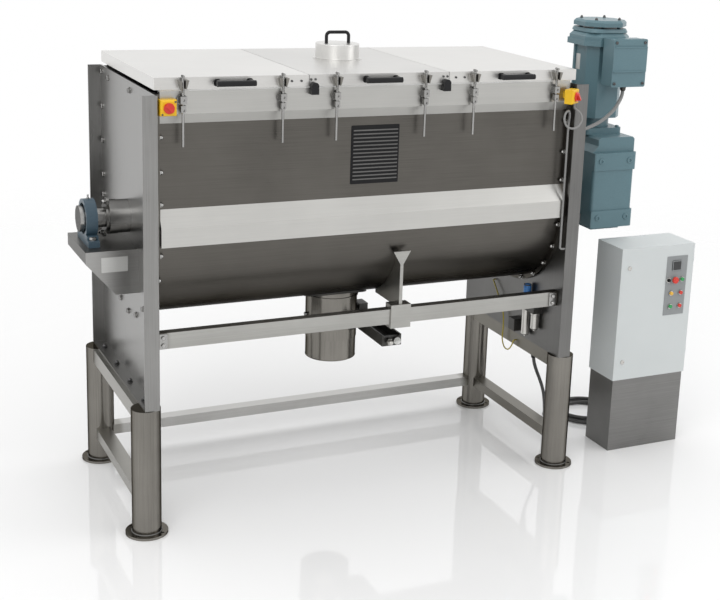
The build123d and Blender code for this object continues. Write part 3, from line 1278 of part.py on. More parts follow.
def door_lock(z):
    """A quarter-turn door lock with a slotted face and its stem through the door."""
    front = CABINET_FRONT - SIDE_PLAY - LOCK_THICK
    lock = bar_y(front, front + LOCK_THICK, LOCK_RADIUS, LOCK_X, z)
    lock += bar_y(front, front + LOCK_STEM_LENGTH, LOCK_STEM_RADIUS, LOCK_X, z)
    half = LOCK_KEY / 2
    return lock - block(
        LOCK_X - LOCK_STEM_RADIUS, LOCK_X + LOCK_STEM_RADIUS, front, front + LOCK_THICK - half,
        z - half, z + half,
    )


def round_tube(points, radius, bends):
    """A round tube along straight runs joined by arcs, one bend radius for each corner."""
    path = FilletPolyline(*points, radius=bends)
    section = Plane(origin=path @ 0, z_dir=path % 0) * Circle(radius)
    return sweep(section, path=path)


def largest_bends(points):
    """The largest arc that the two runs at each corner leave room for."""
    corners = [Vector(*point) for point in points]
    radii = []
    for before, here, after in zip(corners, corners[1:], corners[2:]):
        first = here - before
        second = after - here
        turn = radians(first.get_angle(second))
        radii.append(0.45 * min(first.length, second.length) / tan(turn / 2))
    return radii


# Cable routes: the points that a cable's straight runs join
MOTOR_CABLE_ROUTE = (
    (DRIVE_X + 33.0, -172.0, TERMINAL_BOTTOM),
    (DRIVE_X + 33.0, -172.0, TERMINAL_BOTTOM - 46.0),
    (DRIVE_X - 4.0, -176.0, TERMINAL_BOTTOM - 106.0),
    (DRIVE_X - 76.0, -186.0, TERMINAL_BOTTOM - 156.0),
    (DRIVE_X - 166.0, -200.0, TERMINAL_BOTTOM - 186.0),
    (HALF + 110.0, -218.0, TERMINAL_BOTTOM - 198.0),
    (HALF, -218.0, TERMINAL_BOTTOM - 198.0),
)
ISOLATOR_FOOT = ISOLATOR_MIDDLE - ISOLATOR_HEIGHT / 2
LOOP_X = ISOLATOR_RIGHT_X
LOOP_Y = -RIM_Y - ISOLATOR_STAND_OFF
LOOP_CABLE_ROUTE = (
    (LOOP_X + 15.0, LOOP_Y, ISOLATOR_FOOT),
    (LOOP_X + 15.0, LOOP_Y, ISOLATOR_FOOT - 18.0),
    (LOOP_X + 42.0, LOOP_Y - 11.0, ISOLATOR_FOOT - 40.0),
    (LOOP_X + 50.0, LOOP_Y - 15.0, ISOLATOR_FOOT - 66.0),
    (LOOP_X + 34.0, LOOP_Y - 18.0, ISOLATOR_FOOT - 94.0),
    (LOOP_X + 4.0, LOOP_Y - 18.0, ISOLATOR_FOOT - 106.0),
    (LOOP_X - 26.0, LOOP_Y - 15.0, ISOLATOR_FOOT - 96.0),
    (LOOP_X - 38.0, LOOP_Y - 10.0, ISOLATOR_FOOT - 66.0),
    (LOOP_X - 28.0, LOOP_Y - 3.0, ISOLATOR_FOOT - 38.0),
    (LOOP_X - 6.0, LOOP_Y + 6.0, ISOLATOR_FOOT - 28.0),
    (LOOP_X + 9.0, LOOP_Y + 19.0, ISOLATOR_FOOT - 52.0),
    (LOOP_X + 11.0, LOOP_Y + 30.0, ISOLATOR_FOOT - 100.0),
    (LOOP_X + 11.0, LOOP_Y + 30.0, ISOLATOR_FOOT - 640.0),
    (WEB_INNER, LOOP_Y + 30.0, ISOLATOR_FOOT - 640.0),
)
EARTH_WIRE_ROUTE = (
    (WEB_INNER, 150.0, PLATE_BOTTOM + 200.0),
    (WEB_INNER - 14.0, 150.0, PLATE_BOTTOM + 200.0),
    (WEB_INNER - 18.0, 92.0, PLATE_BOTTOM + 148.0),
    (WEB_INNER - 18.0, 30.0, PLATE_BOTTOM + 76.0),
    (WEB_INNER - 18.0, 22.0, PLATE_BOTTOM + 6.0),
    (WEB_INNER - 18.0, 30.0, PLATE_BOTTOM - 60.0),
    (WEB_INNER - 18.0, 6.0, PLATE_BOTTOM - 94.0),
    (WEB_INNER - 18.0, -34.0, PLATE_BOTTOM - 94.0),
    (WEB_INNER - 18.0, -64.0, PLATE_BOTTOM - 62.0),
    (WEB_INNER - 14.0, -70.0, PLATE_BOTTOM - 34.0),
    (WEB_INNER, -70.0, PLATE_BOTTOM - 34.0),
)
GLAND_X = WEB_INNER + BEAM_WIDTH + GLAND_OUT
DROP_TOP = BEAM_LOW - GLAND_LENGTH
FLOOR_CABLE = SUPPLY_CABLE_RADIUS + 1.0
LANDING = (COIL_X - 125.0, COIL_Y + 104.0)
# Shares of the way from the gland to the coil, across and behind, and of the drop
DROP_SHARES = (
    (0.0, 0.0, 1.0), (0.0, 0.0, 0.89), (0.069, 0.015, 0.765), (0.186, 0.045, 0.616), (0.303, 0.114, 0.457),
    (0.4, 0.227, 0.292), (0.503, 0.379, 0.14), (0.62, 0.606, 0.036), (0.741, 0.795, 0.0),
    (0.897, 0.947, 0.0), (1.0, 1.0, 0.0),
)
DROP_ROUTE = tuple(
    (
        GLAND_X + across * (LANDING[0] - GLAND_X),
        GLAND_Y + behind * (LANDING[1] - GLAND_Y),
        FLOOR_CABLE + height * (DROP_TOP - FLOOR_CABLE),
    )
    for across, behind, height in DROP_SHARES
)
TAIL_START = COIL_Y - 84.0
TAIL_END = CABINET_BACK - PLINTH_SETBACK
TAIL_SHARES = ((138.0, 0.0, 3.0), (142.0, 0.26, 3.0), (138.0, 0.53, 4.0), (132.0, 0.77, 5.0), (132.0, 1.0, 5.0))
TAIL_ROUTE = tuple(
    (COIL_X + across, TAIL_START + share * (TAIL_END - TAIL_START), FLOOR_CABLE + rise)
    for across, share, rise in TAIL_SHARES
)


def fixed_cables():
    """The motor's cable, the looped cable of the right isolator and the earth wire under the trough."""
    motor_cable = round_tube(MOTOR_CABLE_ROUTE, MOTOR_CABLE_RADIUS, largest_bends(MOTOR_CABLE_ROUTE))
    loop_cable = round_tube(LOOP_CABLE_ROUTE, LOOP_CABLE_RADIUS, largest_bends(LOOP_CABLE_ROUTE))
    earth_wire = round_tube(EARTH_WIRE_ROUTE, EARTH_WIRE_RADIUS, largest_bends(EARTH_WIRE_ROUTE))
    return [motor_cable, loop_cable, earth_wire]


def supply_gland():
    """The gland under the right beam where the supply cable leaves the machine."""
    half = GLAND_RADIUS
    gland = block(
        WEB_INNER + BEAM_WIDTH, GLAND_X + half, GLAND_Y - half, GLAND_Y + half, BEAM_LOW, PLATE_BOTTOM
    )
    return gland + bar_z(DROP_TOP, BEAM_LOW, GLAND_RADIUS, GLAND_X, GLAND_Y)


def supply_coil():
    """The outer shape of the loose coil of supply cable on the floor."""
    ring = bar_z(0, COIL_HEIGHT, COIL_RADIUS + COIL_BAND, COIL_X, COIL_Y)
    return ring - bar_z(0, COIL_HEIGHT, COIL_RADIUS - COIL_BAND, COIL_X, COIL_Y)


def build():
    """Every piece by its name, about the middle of the trough."""
    right_plate = other_side(end_plate())
    pieces = {
        "trough_shell": trough_shell(),
        "trough_rails": trough_rails(),
        "rim_seal": rim_seal(),
        "end_plate_left": end_plate(),
        "end_plate_right": right_plate,
        "legs": [leg(x, y) for x in (-LEG_X, LEG_X) for y in (-LEG_Y, LEG_Y)],
        "frame_beams": frame_beams(),
        "support_bracket": support_bracket(),
        "hinge_brackets": hinge_brackets(),
        "clamp_guides": [clamp_guide(x) for x in CLAMP_X],
        "lid_switches": [lid_switch(-SWITCH_X), lid_switch(SWITCH_X)],
        "isolator_boxes": isolator_boxes(),
        "seal_housings": [seal_housing(), other_side(seal_housing())],
        "pillow_blocks": [pillow_block(), other_side(pillow_block())],
        "bearing_shelves": bearing_shelves(),
        "gearbox": gearbox(),
        "motor": motor(),
        "fan_cowl": fan_cowl(),
        "terminal_box": terminal_box(),
        "outlet_spout": at_spout(outlet_spout()),
        "valve_actuator": at_spout(valve_actuator()),
        "air_unit": air_unit(),
        "cabinet_case": cabinet_case(),
        "cabinet_plinth": cabinet_plinth(),
        "fixed_cables": fixed_cables(),
        "shaft": shaft(),
        "outer_ribbons": [ribbon(RIBBON_CENTRE, RIBBON_WIDTH, False, start) for start in (0, 180)],
        "inner_ribbons": [
            ribbon(INNER_RIBBON_RADIUS, INNER_RIBBON_WIDTH, True, start) for start in (0, 180)
        ],
        "spokes": spokes(),
        "inlet_spigot": inlet_spigot(),
        "inlet_cap": inlet_cap(),
        "cap_handle": cap_handle(),
        "valve_disc": at_spout(valve_disc()),
        "cabinet_door": cabinet_door(),
        "control_panel": control_panel(),
        "key_selector": key_selector(),
        "stop_mushroom": stop_mushroom(),
        "main_switch": main_switch(),
    }
    for name, span in zip(LID_NAMES, LID_SPANS):
        make = middle_lid if name == "middle" else lid
        pieces[f"lid_{name}"] = make(span)
        pieces[f"lid_handle_{name}"] = lid_handle(span)
    for number, x in enumerate(CLAMP_X, 1):
        pieces[f"clamp_rod_{number}"] = clamp_rod(x)
    pieces["isolator_knob_left"] = isolator_knob(ISOLATOR_LEFT_X, -RIM_Y - ISOLATOR_DEPTH / 2, 0)
    pieces["isolator_knob_right"] = isolator_knob(
        ISOLATOR_RIGHT_X, -RIM_Y - ISOLATOR_STAND_OFF, ISOLATOR_TURN
    )
    for name, place in BUTTONS.items():
        pieces[name] = push_button(place)
    for name, z in LOCKS.items():
        pieces[name] = door_lock(z)
    return pieces


def build_cord():
    """The free supply cable: the drop, the coil on the floor and the tail to the plinth."""
    return {
        "supply_cord": [
            round_tube(route, SUPPLY_CABLE_RADIUS, largest_bends(route)) for route in (DROP_ROUTE, TAIL_ROUTE)
        ],
        "supply_coil": supply_coil(),
    }


def as_list(shape):
    """A node's solids as a list."""
    return shape if isinstance(shape, list) else [shape]


def outline_middle(pieces):
    """The point on the floor under the middle of the machine's outline."""
    whole = Compound(children=[Compound(children=as_list(shape)) for shape in pieces.values()])
    middle = whole.bounding_box().center()
    return (middle.X, middle.Y)


PIECES = build()
ORIGIN = outline_middle(PIECES)
PIECES.update(build_cord())

if __name__ == "__main__":
    os.makedirs("parts", exist_ok=True)
    to_origin = Pos(-ORIGIN[0], -ORIGIN[1], 0)
    for node, shape in PIECES.items():
        solids = [to_origin * solid for item in as_list(shape) for solid in item.solids()]
        export_step(Compound(children=solids), f"parts/{node}.step")
    print("nodes", len(PIECES), "origin", ORIGIN)
    for route in (DROP_ROUTE, TAIL_ROUTE, MOTOR_CABLE_ROUTE, LOOP_CABLE_ROUTE, EARTH_WIRE_ROUTE):
        print("bend radii", [round(radius) for radius in largest_bends(route)])
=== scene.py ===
"""Dressed scene of the ribbon blender: finishes, fittings, cables, floor, light and camera.

Lengths in the fittings' fields are millimetres about the middle of the trough, with the floor at
zero. Machine.at() turns them into metres of the row frame. The places of tints, of the trough's
wall and of the lamps are metres of the row frame itself.
"""
from __future__ import annotations

import json
import logging
from dataclasses import dataclass
from enum import Enum
from typing import Sequence

import bmesh
import bpy
import numpy as np
from mathutils import Matrix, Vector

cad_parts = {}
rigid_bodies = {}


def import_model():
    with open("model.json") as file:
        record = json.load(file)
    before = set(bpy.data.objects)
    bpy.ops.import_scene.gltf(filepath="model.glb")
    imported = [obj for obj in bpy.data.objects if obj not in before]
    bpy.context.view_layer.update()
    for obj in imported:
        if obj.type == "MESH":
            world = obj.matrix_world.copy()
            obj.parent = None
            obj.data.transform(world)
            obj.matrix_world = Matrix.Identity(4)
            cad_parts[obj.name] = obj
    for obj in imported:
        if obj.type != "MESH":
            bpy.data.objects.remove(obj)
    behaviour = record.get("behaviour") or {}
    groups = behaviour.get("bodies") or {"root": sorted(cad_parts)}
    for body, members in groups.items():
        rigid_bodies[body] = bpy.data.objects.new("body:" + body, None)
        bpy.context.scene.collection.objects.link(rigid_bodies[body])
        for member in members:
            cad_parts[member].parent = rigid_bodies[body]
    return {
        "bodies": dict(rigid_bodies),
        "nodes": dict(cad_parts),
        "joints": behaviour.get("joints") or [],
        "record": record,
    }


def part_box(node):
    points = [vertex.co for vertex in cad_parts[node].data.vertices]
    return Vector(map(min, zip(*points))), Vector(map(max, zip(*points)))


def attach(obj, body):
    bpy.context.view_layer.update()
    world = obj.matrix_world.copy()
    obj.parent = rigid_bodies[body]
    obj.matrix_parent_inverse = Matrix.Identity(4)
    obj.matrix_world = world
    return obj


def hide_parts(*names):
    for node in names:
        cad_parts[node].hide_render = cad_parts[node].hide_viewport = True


LOG = logging.getLogger("ribbon_blender")
MM = 0.001
BOTH = np.array((-1.0, 1.0))
SHADE_SPREAD = (0.32, 0.68)
GLOSS_SPREAD = (0.3, 0.7)
RELIEF_DEPTH = 0.0004
COAT_ROUGHNESS = 0.12
Colour = tuple[float, float, float]
Bands = tuple[tuple[float, Colour], ...]
Wall = tuple[float, float, float, float]
Point = tuple[float, float, float]
Pair = tuple[float, float]
Plate = tuple[float, float, float, float, float]


class Axis(Enum):
    """Directions that a fitting can face."""

    RIGHT = (1.0, 0.0, 0.0)
    LEFT = (-1.0, 0.0, 0.0)
    REAR = (0.0, 1.0, 0.0)
    FRONT = (0.0, -1.0, 0.0)
    UP = (0.0, 0.0, 1.0)
    DOWN = (0.0, 0.0, -1.0)


ENDS = (("left", -1.0, Axis.LEFT, Axis.RIGHT), ("right", 1.0, Axis.RIGHT, Axis.LEFT))


class Grain(Enum):
    """How often a finish's fine grain repeats along X, Y and Z, per metre."""

    ALONG_X = (4.0, 420.0, 420.0)
    ALONG_Z = (420.0, 420.0, 4.0)
    EVEN = (900.0, 900.0, 900.0)
    COARSE = (260.0, 260.0, 260.0)


def add_node(
    tree: bpy.types.NodeTree, kind: str, values: dict[str, object] | None = None, **settings: object
) -> bpy.types.Node:
    """A new node in a tree.

    Args:
        tree: The node tree.
        kind: The node's type.
        values: Values of its inputs, by name.
        settings: The node's own settings, made before the values.

    Returns:
        The node.
    """
    node = tree.nodes.new(kind)
    for name, setting in settings.items():
        setattr(node, name, setting)
    for name, value in (values or {}).items():
        node.inputs[name].default_value = value
    return node


def mapped(
    tree: bpy.types.NodeTree, value: bpy.types.NodeSocket, source: Pair, target: Pair = (0.0, 1.0)
) -> bpy.types.NodeSocket:
    """A value carried from one range to another and held at its ends.

    Args:
        tree: The node tree.
        value: The value's socket.
        source: The range that it comes from.
        target: The range that it goes to.

    Returns:
        The carried value's socket.
    """
    limits = dict(zip(("From Min", "From Max", "To Min", "To Max"), (*source, *target)))
    node = add_node(tree, "ShaderNodeMapRange", limits)
    tree.links.new(value, node.inputs["Value"])
    return node.outputs["Result"]


def grain_group() -> bpy.types.NodeTree:
    """A shader group that gives a fine grain and a broad clouding.

    Returns:
        The group: fine noise on a stretched vector, and broad noise on the plain place.
    """
    found = bpy.data.node_groups.get("fine_and_broad")
    if found:
        return found
    group = bpy.data.node_groups.new("fine_and_broad", "ShaderNodeTree")
    sockets = (
        ("Grain", "INPUT", "Vector"), ("Place", "INPUT", "Vector"), ("Cloud Size", "INPUT", "Float"),
        ("Fine", "OUTPUT", "Float"), ("Broad", "OUTPUT", "Float"),
    )
    for name, way, kind in sockets:
        group.interface.new_socket(name, in_out=way, socket_type=f"NodeSocket{kind}")
    enter = group.nodes.new("NodeGroupInput")
    leave = group.nodes.new("NodeGroupOutput")
    fine = add_node(group, "ShaderNodeTexNoise", {"Scale": 1.0, "Detail": 4.0})
    broad = add_node(group, "ShaderNodeTexNoise", {"Detail": 3.0, "Roughness": 0.62})
    group.links.new(enter.outputs["Grain"], fine.inputs["Vector"])
    group.links.new(enter.outputs["Place"], broad.inputs["Vector"])
    group.links.new(enter.outputs["Cloud Size"], broad.inputs["Scale"])
    group.links.new(fine.outputs["Fac"], leave.inputs["Fine"])
    group.links.new(broad.outputs["Fac"], leave.inputs["Broad"])
    return group


@dataclass(frozen=True)
class Finish:
    """A surface finish: two shades, a grain, a gloss range and a relief.

    The bands tint the pieces of one node apart by height, depth and length; the bands of the end beams and
    of the lids' front lugs are painted shade. The wall and its painted shade darken the outside of a
    U-shaped sheet and leave its inside.
    """

    name: str
    slot: str
    light: Colour
    dark: Colour
    metallic: float = 0.0
    gloss: Pair = (0.3, 0.45)
    grain: Grain = Grain.EVEN
    clouds: float = 3.0
    grain_share: float = 0.5
    relief: float = 0.1
    coat: float = 0.0
    bands: Bands = ()
    depth_bands: Bands = ()
    side_bands: Bands = ()
    wall: Wall | None = None
    wall_tint: Colour = (1.0, 1.0, 1.0)
    shine: float = 0.5
    edge: float = 1.0

    def material(self) -> bpy.types.Material:
        """The finish's material, made at its first use.

        Returns:
            A node material that reads Object coordinates.
        """
        found = bpy.data.materials.get(self.name)
        if found:
            return found
        material = bpy.data.materials.new(self.name)
        material.use_nodes = True
        tree = material.node_tree
        links = tree.links
        shader = tree.nodes["Principled BSDF"]
        constants = {
            "Metallic": self.metallic, "Specular IOR Level": self.shine,
            "Specular Tint": (self.edge, self.edge, self.edge, 1.0),
            "Coat Weight": self.coat, "Coat Roughness": COAT_ROUGHNESS,
        }
        for name, value in constants.items():
            shader.inputs[name].default_value = value
        place = tree.nodes.new("ShaderNodeTexCoord").outputs["Object"]
        stretch = add_node(tree, "ShaderNodeMapping", {"Scale": self.grain.value})
        noise = add_node(tree, "ShaderNodeGroup", {"Cloud Size": self.clouds}, node_tree=grain_group())
        links.new(place, stretch.inputs["Vector"])
        links.new(stretch.outputs["Vector"], noise.inputs["Grain"])
        links.new(place, noise.inputs["Place"])
        blend = add_node(tree, "ShaderNodeMix", {"Factor": self.grain_share})
        links.new(noise.outputs["Broad"], blend.inputs["A"])
        links.new(noise.outputs["Fine"], blend.inputs["B"])
        pattern = blend.outputs["Result"]
        shades = {"A": (*self.dark, 1.0), "B": (*self.light, 1.0)}
        shade = add_node(tree, "ShaderNodeMix", shades, data_type="RGBA")
        links.new(mapped(tree, pattern, SHADE_SPREAD), shade.inputs["Factor"])
        colour = shade.outputs["Result"]
        for axis, bands in (("Z", self.bands), ("Y", self.depth_bands), ("X", self.side_bands)):
            if bands:
                colour = self.banded(tree, place, colour, axis, bands)
        if self.wall:
            colour = self.walled(tree, place, colour)
        links.new(colour, shader.inputs["Base Color"])
        links.new(mapped(tree, pattern, GLOSS_SPREAD, self.gloss), shader.inputs["Roughness"])
        bump = add_node(tree, "ShaderNodeBump", {"Strength": self.relief, "Distance": RELIEF_DEPTH})
        links.new(noise.outputs["Fine"], bump.inputs["Height"])
        links.new(bump.outputs["Normal"], shader.inputs["Normal"])
        return material

    def walled(
        self, tree: bpy.types.NodeTree, place: bpy.types.NodeSocket, colour: bpy.types.NodeSocket
    ) -> bpy.types.NodeSocket:
        """Darkens a colour with painted shade on the outside of a U-shaped wall and leaves its inside.

        The distance is taken from the arc's axis below it, and straight across above it.

        Args:
            tree: The material's node tree.
            place: Its Object coordinates.
            colour: The colour to tint.

        Returns:
            The tinted colour's socket.
        """
        across, height, inner, outer = self.wall
        steps = (
            ("SUBTRACT", (0.0, across, height)),
            ("MULTIPLY", (0.0, 1.0, 1.0)),
            ("MINIMUM", (1.0, 1.0, 0.0)),
            ("LENGTH", None),
        )
        reach = place
        for operation, other in steps:
            step = add_node(tree, "ShaderNodeVectorMath", operation=operation)
            tree.links.new(reach, step.inputs[0])
            if other:
                step.inputs[1].default_value = other
            reach = step.outputs["Value" if operation == "LENGTH" else "Vector"]
        # Painted shade: the outside is multiplied by a dark tone that stands for the dark reflection of the
        # polished steel.
        tint = {"B": (*self.wall_tint, 1.0)}
        tinted = add_node(tree, "ShaderNodeMix", tint, data_type="RGBA", blend_type="MULTIPLY")
        tree.links.new(mapped(tree, reach, (inner, outer)), tinted.inputs["Factor"])
        tree.links.new(colour, tinted.inputs["A"])
        return tinted.outputs["Result"]

    @staticmethod
    def banded(
        tree: bpy.types.NodeTree,
        place: bpy.types.NodeSocket,
        colour: bpy.types.NodeSocket,
        axis: str,
        bands: Bands,
    ) -> bpy.types.NodeSocket:
        """Tints a colour in soft bands along one axis of the object.

        Args:
            tree: The material's node tree.
            place: Its Object coordinates.
            colour: The colour to tint.
            axis: X, Y or Z.
            bands: Places along the axis in metres, rising, each with its tint.

        Returns:
            The tinted colour's socket.
        """
        low, high = bands[0][0], bands[-1][0]
        split = tree.nodes.new("ShaderNodeSeparateXYZ")
        ramp = tree.nodes.new("ShaderNodeValToRGB")
        stops = ramp.color_ramp.elements
        while len(stops) < len(bands):
            stops.new(1.0)
        for stop, (reach, tint) in zip(stops, bands):
            stop.position = (reach - low) / (high - low)
            stop.color = (*tint, 1.0)
        whole = {"Factor": 1.0}
        tinted = add_node(tree, "ShaderNodeMix", whole, data_type="RGBA", blend_type="MULTIPLY")
        tree.links.new(place, split.inputs["Vector"])
        tree.links.new(mapped(tree, split.outputs[axis], (low, high)), ramp.inputs["Fac"])
        tree.links.new(colour, tinted.inputs["A"])
        tree.links.new(ramp.outputs["Color"], tinted.inputs["B"])
        return tinted.outputs["Result"]


def steel(
    name: str, light: float, dark: float, grain: Grain, cast: Colour = (1.0, 0.99, 0.965), **more: object
) -> Finish:
    """A stainless finish with a warm cast.

    Args:
        name: The material's name.
        light: Brightness of the lighter grain.
        dark: Brightness of the darker grain.
        grain: Direction of the brushing.
        cast: Share of each colour that the steel throws back.
        more: Other fields of the finish.

    Returns:
        The finish.
    """
    facts = {"metallic": 1.0, "gloss": (0.24, 0.38), "relief": 0.06, "slot": "steel"} | more
    return Finish(
        name,
        light=tuple(light * share for share in cast),
        dark=tuple(dark * share for share in cast),
        grain=grain,
        **facts,
    )


WARM: Colour = (1.0, 0.95, 0.86)
PLAIN: Colour = (1.0, 1.0, 1.0)
# Painted shade: the two end beams, the same tube as the other beams, are darkened, the right one to about a
# third.
LEFT_BEAM_PAINTED_SHADE: Colour = (0.62, 0.61, 0.58)
RIGHT_BEAM_PAINTED_SHADE: Colour = (0.36, 0.345, 0.31)
# Painted shade: the lugs in front of the lids' skirts are darkened to about a third of the lid's tone.
LUG_PAINTED_SHADE: Bands = (
    (-0.435, (0.3, 0.29, 0.27)), (-0.4035, (0.34, 0.33, 0.31)), (-0.4008, PLAIN), (0.5, PLAIN),
)
LID_STEEL = steel(
    "lid_sheet_brushed", 0.78, 0.7, Grain.ALONG_X, gloss=(0.3, 0.42), depth_bands=LUG_PAINTED_SHADE,
)
LID_MIDDLE_STEEL = steel(
    "lid_middle_brushed", 0.72, 0.61, Grain.ALONG_X, gloss=(0.3, 0.42), depth_bands=LUG_PAINTED_SHADE,
)
# Painted shade: outside the trough's wall the steel is darkened to about a seventh, for the dark reflection
# on the polished sheet; the inside keeps the plain tone.
SHELL_STEEL = steel(
    "trough_sheet_brushed", 0.92, 0.68, Grain.ALONG_X, gloss=(0.26, 0.4), edge=0.2,
    wall=(0.01384, 1.19, 0.3845, 0.3875), wall_tint=(0.15, 0.143, 0.133),
)
RAIL_STEEL = steel(
    "rail_sheet_brushed", 0.84, 0.74, Grain.ALONG_X, gloss=(0.28, 0.4),
    bands=((1.300, (0.68, 0.68, 0.67)), (1.624, (0.58, 0.58, 0.57))),
)
# Painted shade: the right end plate is the left plate's steel darkened to about two thirds, for the dark
# reflection on it.
PLATE_RIGHT_PAINTED_SHADE = steel(
    "end_plate_right_painted_shade", 0.21, 0.16, Grain.ALONG_Z, gloss=(0.26, 0.38), edge=0.4,
)
PLATE_STEEL = steel("end_plate_brushed", 0.32, 0.25, Grain.ALONG_Z, gloss=(0.26, 0.38))
TUBE_STEEL = steel(
    "leg_tube_satin", 0.27, 0.17, Grain.ALONG_Z, WARM, gloss=(0.16, 0.26), slot="polished_steel", edge=0.15,
)
BAR_STEEL = steel(
    "turned_bar_bright", 0.44, 0.3, Grain.EVEN, gloss=(0.16, 0.28), slot="polished_steel", edge=0.3,
)
BEAM_STEEL = steel(
    "beam_tube_brushed", 0.58, 0.46, Grain.ALONG_X, gloss=(0.28, 0.4),
    bands=(
        (0.1, PLAIN), (0.6, (0.95, 0.95, 0.94)), (0.75, (0.74, 0.74, 0.72)), (0.82, (0.8, 0.8, 0.78)),
    ),
    # painted shade on the left and right end beams
    side_bands=(
        (-1.3, LEFT_BEAM_PAINTED_SHADE), (-1.135, LEFT_BEAM_PAINTED_SHADE), (-1.12, PLAIN),
        (0.56, PLAIN), (0.6, RIGHT_BEAM_PAINTED_SHADE), (0.75, RIGHT_BEAM_PAINTED_SHADE),
    ),
)
SHELF_STEEL = steel("shelf_sheet_brushed", 0.42, 0.34, Grain.ALONG_X, gloss=(0.28, 0.4), edge=0.4)
SLAT_STEEL = steel("louvre_slat_dull", 0.17, 0.12, Grain.ALONG_X, gloss=(0.3, 0.42))
SPOUT_STEEL = steel("spout_tube_satin", 0.27, 0.15, Grain.ALONG_Z, WARM, gloss=(0.16, 0.26), edge=0.15)
PLINTH_STEEL = steel("plinth_sheet_brushed", 0.25, 0.18, Grain.ALONG_X, gloss=(0.26, 0.38), edge=0.4)
ROTOR_STEEL = steel("ribbon_steel_satin", 0.66, 0.54, Grain.ALONG_X, slot="polished_steel")
BOLT_STEEL = steel(
    "bolt_head_bright", 0.5, 0.34, Grain.EVEN, gloss=(0.14, 0.26), slot="polished_steel", edge=0.3,
)
DARK_BOLT = Finish(
    "bolt_head_dark", "polished_steel", (0.16, 0.16, 0.16), (0.09, 0.09, 0.09),
    metallic=1.0, gloss=(0.3, 0.45),
)
WELD_STEEL = steel(
    "weld_bead_dull", 0.24, 0.15, Grain.COARSE, gloss=(0.34, 0.5), relief=0.3, slot="polished_steel",
)
SEAL_RUBBER = Finish(
    "seal_strip_white", "seal_strip", (0.86, 0.86, 0.84), (0.76, 0.76, 0.74),
    gloss=(0.45, 0.6), relief=0.12,
)
BLACK_MOULDING = Finish(
    "grip_black_moulded", "black_grip", (0.018, 0.018, 0.019), (0.01, 0.01, 0.011),
    gloss=(0.3, 0.45), relief=0.2, shine=0.22,
)
YELLOW_MOULDING = Finish(
    "isolator_yellow_moulded", "yellow_plastic", (0.9, 0.56, 0.012), (0.82, 0.47, 0.01),
    gloss=(0.3, 0.42), relief=0.1,
)
RED_MOULDING = Finish(
    "knob_red_moulded", "red_plastic", (0.72, 0.035, 0.015), (0.6, 0.022, 0.012),
    gloss=(0.2, 0.32), coat=0.3,
)
GREEN_MOULDING = Finish(
    "button_green_moulded", "green_plastic", (0.02, 0.36, 0.09), (0.015, 0.27, 0.065),
    gloss=(0.2, 0.32), coat=0.3,
)
AMBER_LENS = Finish(
    "lamp_amber_lens", "yellow_plastic", (0.85, 0.5, 0.03), (0.7, 0.36, 0.02), gloss=(0.1, 0.2), coat=0.6,
)
DRIVE_PAINT = Finish(
    "drive_blue_grey_paint", "drive_paint", (0.118, 0.215, 0.248), (0.094, 0.178, 0.208),
    gloss=(0.32, 0.46), grain=Grain.COARSE, relief=0.22, coat=0.15,
)
BEARING_PAINT = Finish(
    "bearing_dark_blue_paint", "bearing_paint", (0.06, 0.105, 0.14), (0.04, 0.075, 0.105),
    gloss=(0.34, 0.5), grain=Grain.COARSE, relief=0.3, coat=0.1,
)
CABINET_PAINT = Finish(
    "cabinet_grey_powder_coat", "cabinet_paint", (0.66, 0.69, 0.69), (0.61, 0.645, 0.645),
    gloss=(0.4, 0.52), relief=0.16,
)
PANEL_GREY = Finish(
    "panel_grey_matt", "panel_grey", (0.30, 0.315, 0.32), (0.255, 0.268, 0.272),
    gloss=(0.42, 0.55), relief=0.12,
)
LOCK_PLATE = Finish(
    "lock_nickel_plate", "plated_lock", (0.62, 0.61, 0.58), (0.5, 0.49, 0.47),
    metallic=1.0, gloss=(0.15, 0.28),
)
DARK_METAL = Finish(
    "actuator_dark_anodised", "actuator_metal", (0.085, 0.083, 0.078), (0.05, 0.049, 0.046),
    metallic=0.8, gloss=(0.34, 0.5), grain=Grain.COARSE,
)
PALE_METAL = Finish(
    "fitting_pale_nickel", "actuator_metal", (0.6, 0.59, 0.56), (0.46, 0.45, 0.43),
    metallic=1.0, gloss=(0.2, 0.34),
)
BLUE_FITTING = Finish(
    "fitting_blue_moulded", "actuator_metal", (0.05, 0.2, 0.5), (0.035, 0.15, 0.4), gloss=(0.3, 0.44),
)
CABLE_SHEATH = Finish(
    "cable_dark_sheath", "cable_sheath", (0.085, 0.085, 0.083), (0.05, 0.05, 0.05),
    gloss=(0.3, 0.45), grain=Grain.COARSE, relief=0.2,
)
GREY_SHEATH = Finish(
    "cable_grey_sheath", "cable_sheath", (1.0, 1.0, 1.0), (0.84, 0.84, 0.84),
    gloss=(0.38, 0.52), grain=Grain.COARSE, relief=0.15,
    bands=(
        (0.40, (0.5, 0.4, 0.03)), (0.80, (0.42, 0.34, 0.03)),
        (0.90, (0.26, 0.26, 0.255)), (1.80, (0.28, 0.28, 0.275)),
    ),
)
LOUVRE_BLACK = Finish(
    "louvre_black_satin", "black_grip", (0.012, 0.012, 0.013), (0.007, 0.007, 0.008),
    gloss=(0.3, 0.42), relief=0.1, shine=0.2,
)
SCREEN_BLACK = Finish(
    "display_black_glass", "black_grip", (0.012, 0.013, 0.015), (0.006, 0.007, 0.008),
    gloss=(0.06, 0.12), coat=0.5,
)
BARE_PLATE = Finish(
    "label_plate_pale", "steel", (0.7, 0.7, 0.68), (0.6, 0.6, 0.585),
    metallic=0.6, gloss=(0.3, 0.42), grain=Grain.ALONG_X,
)

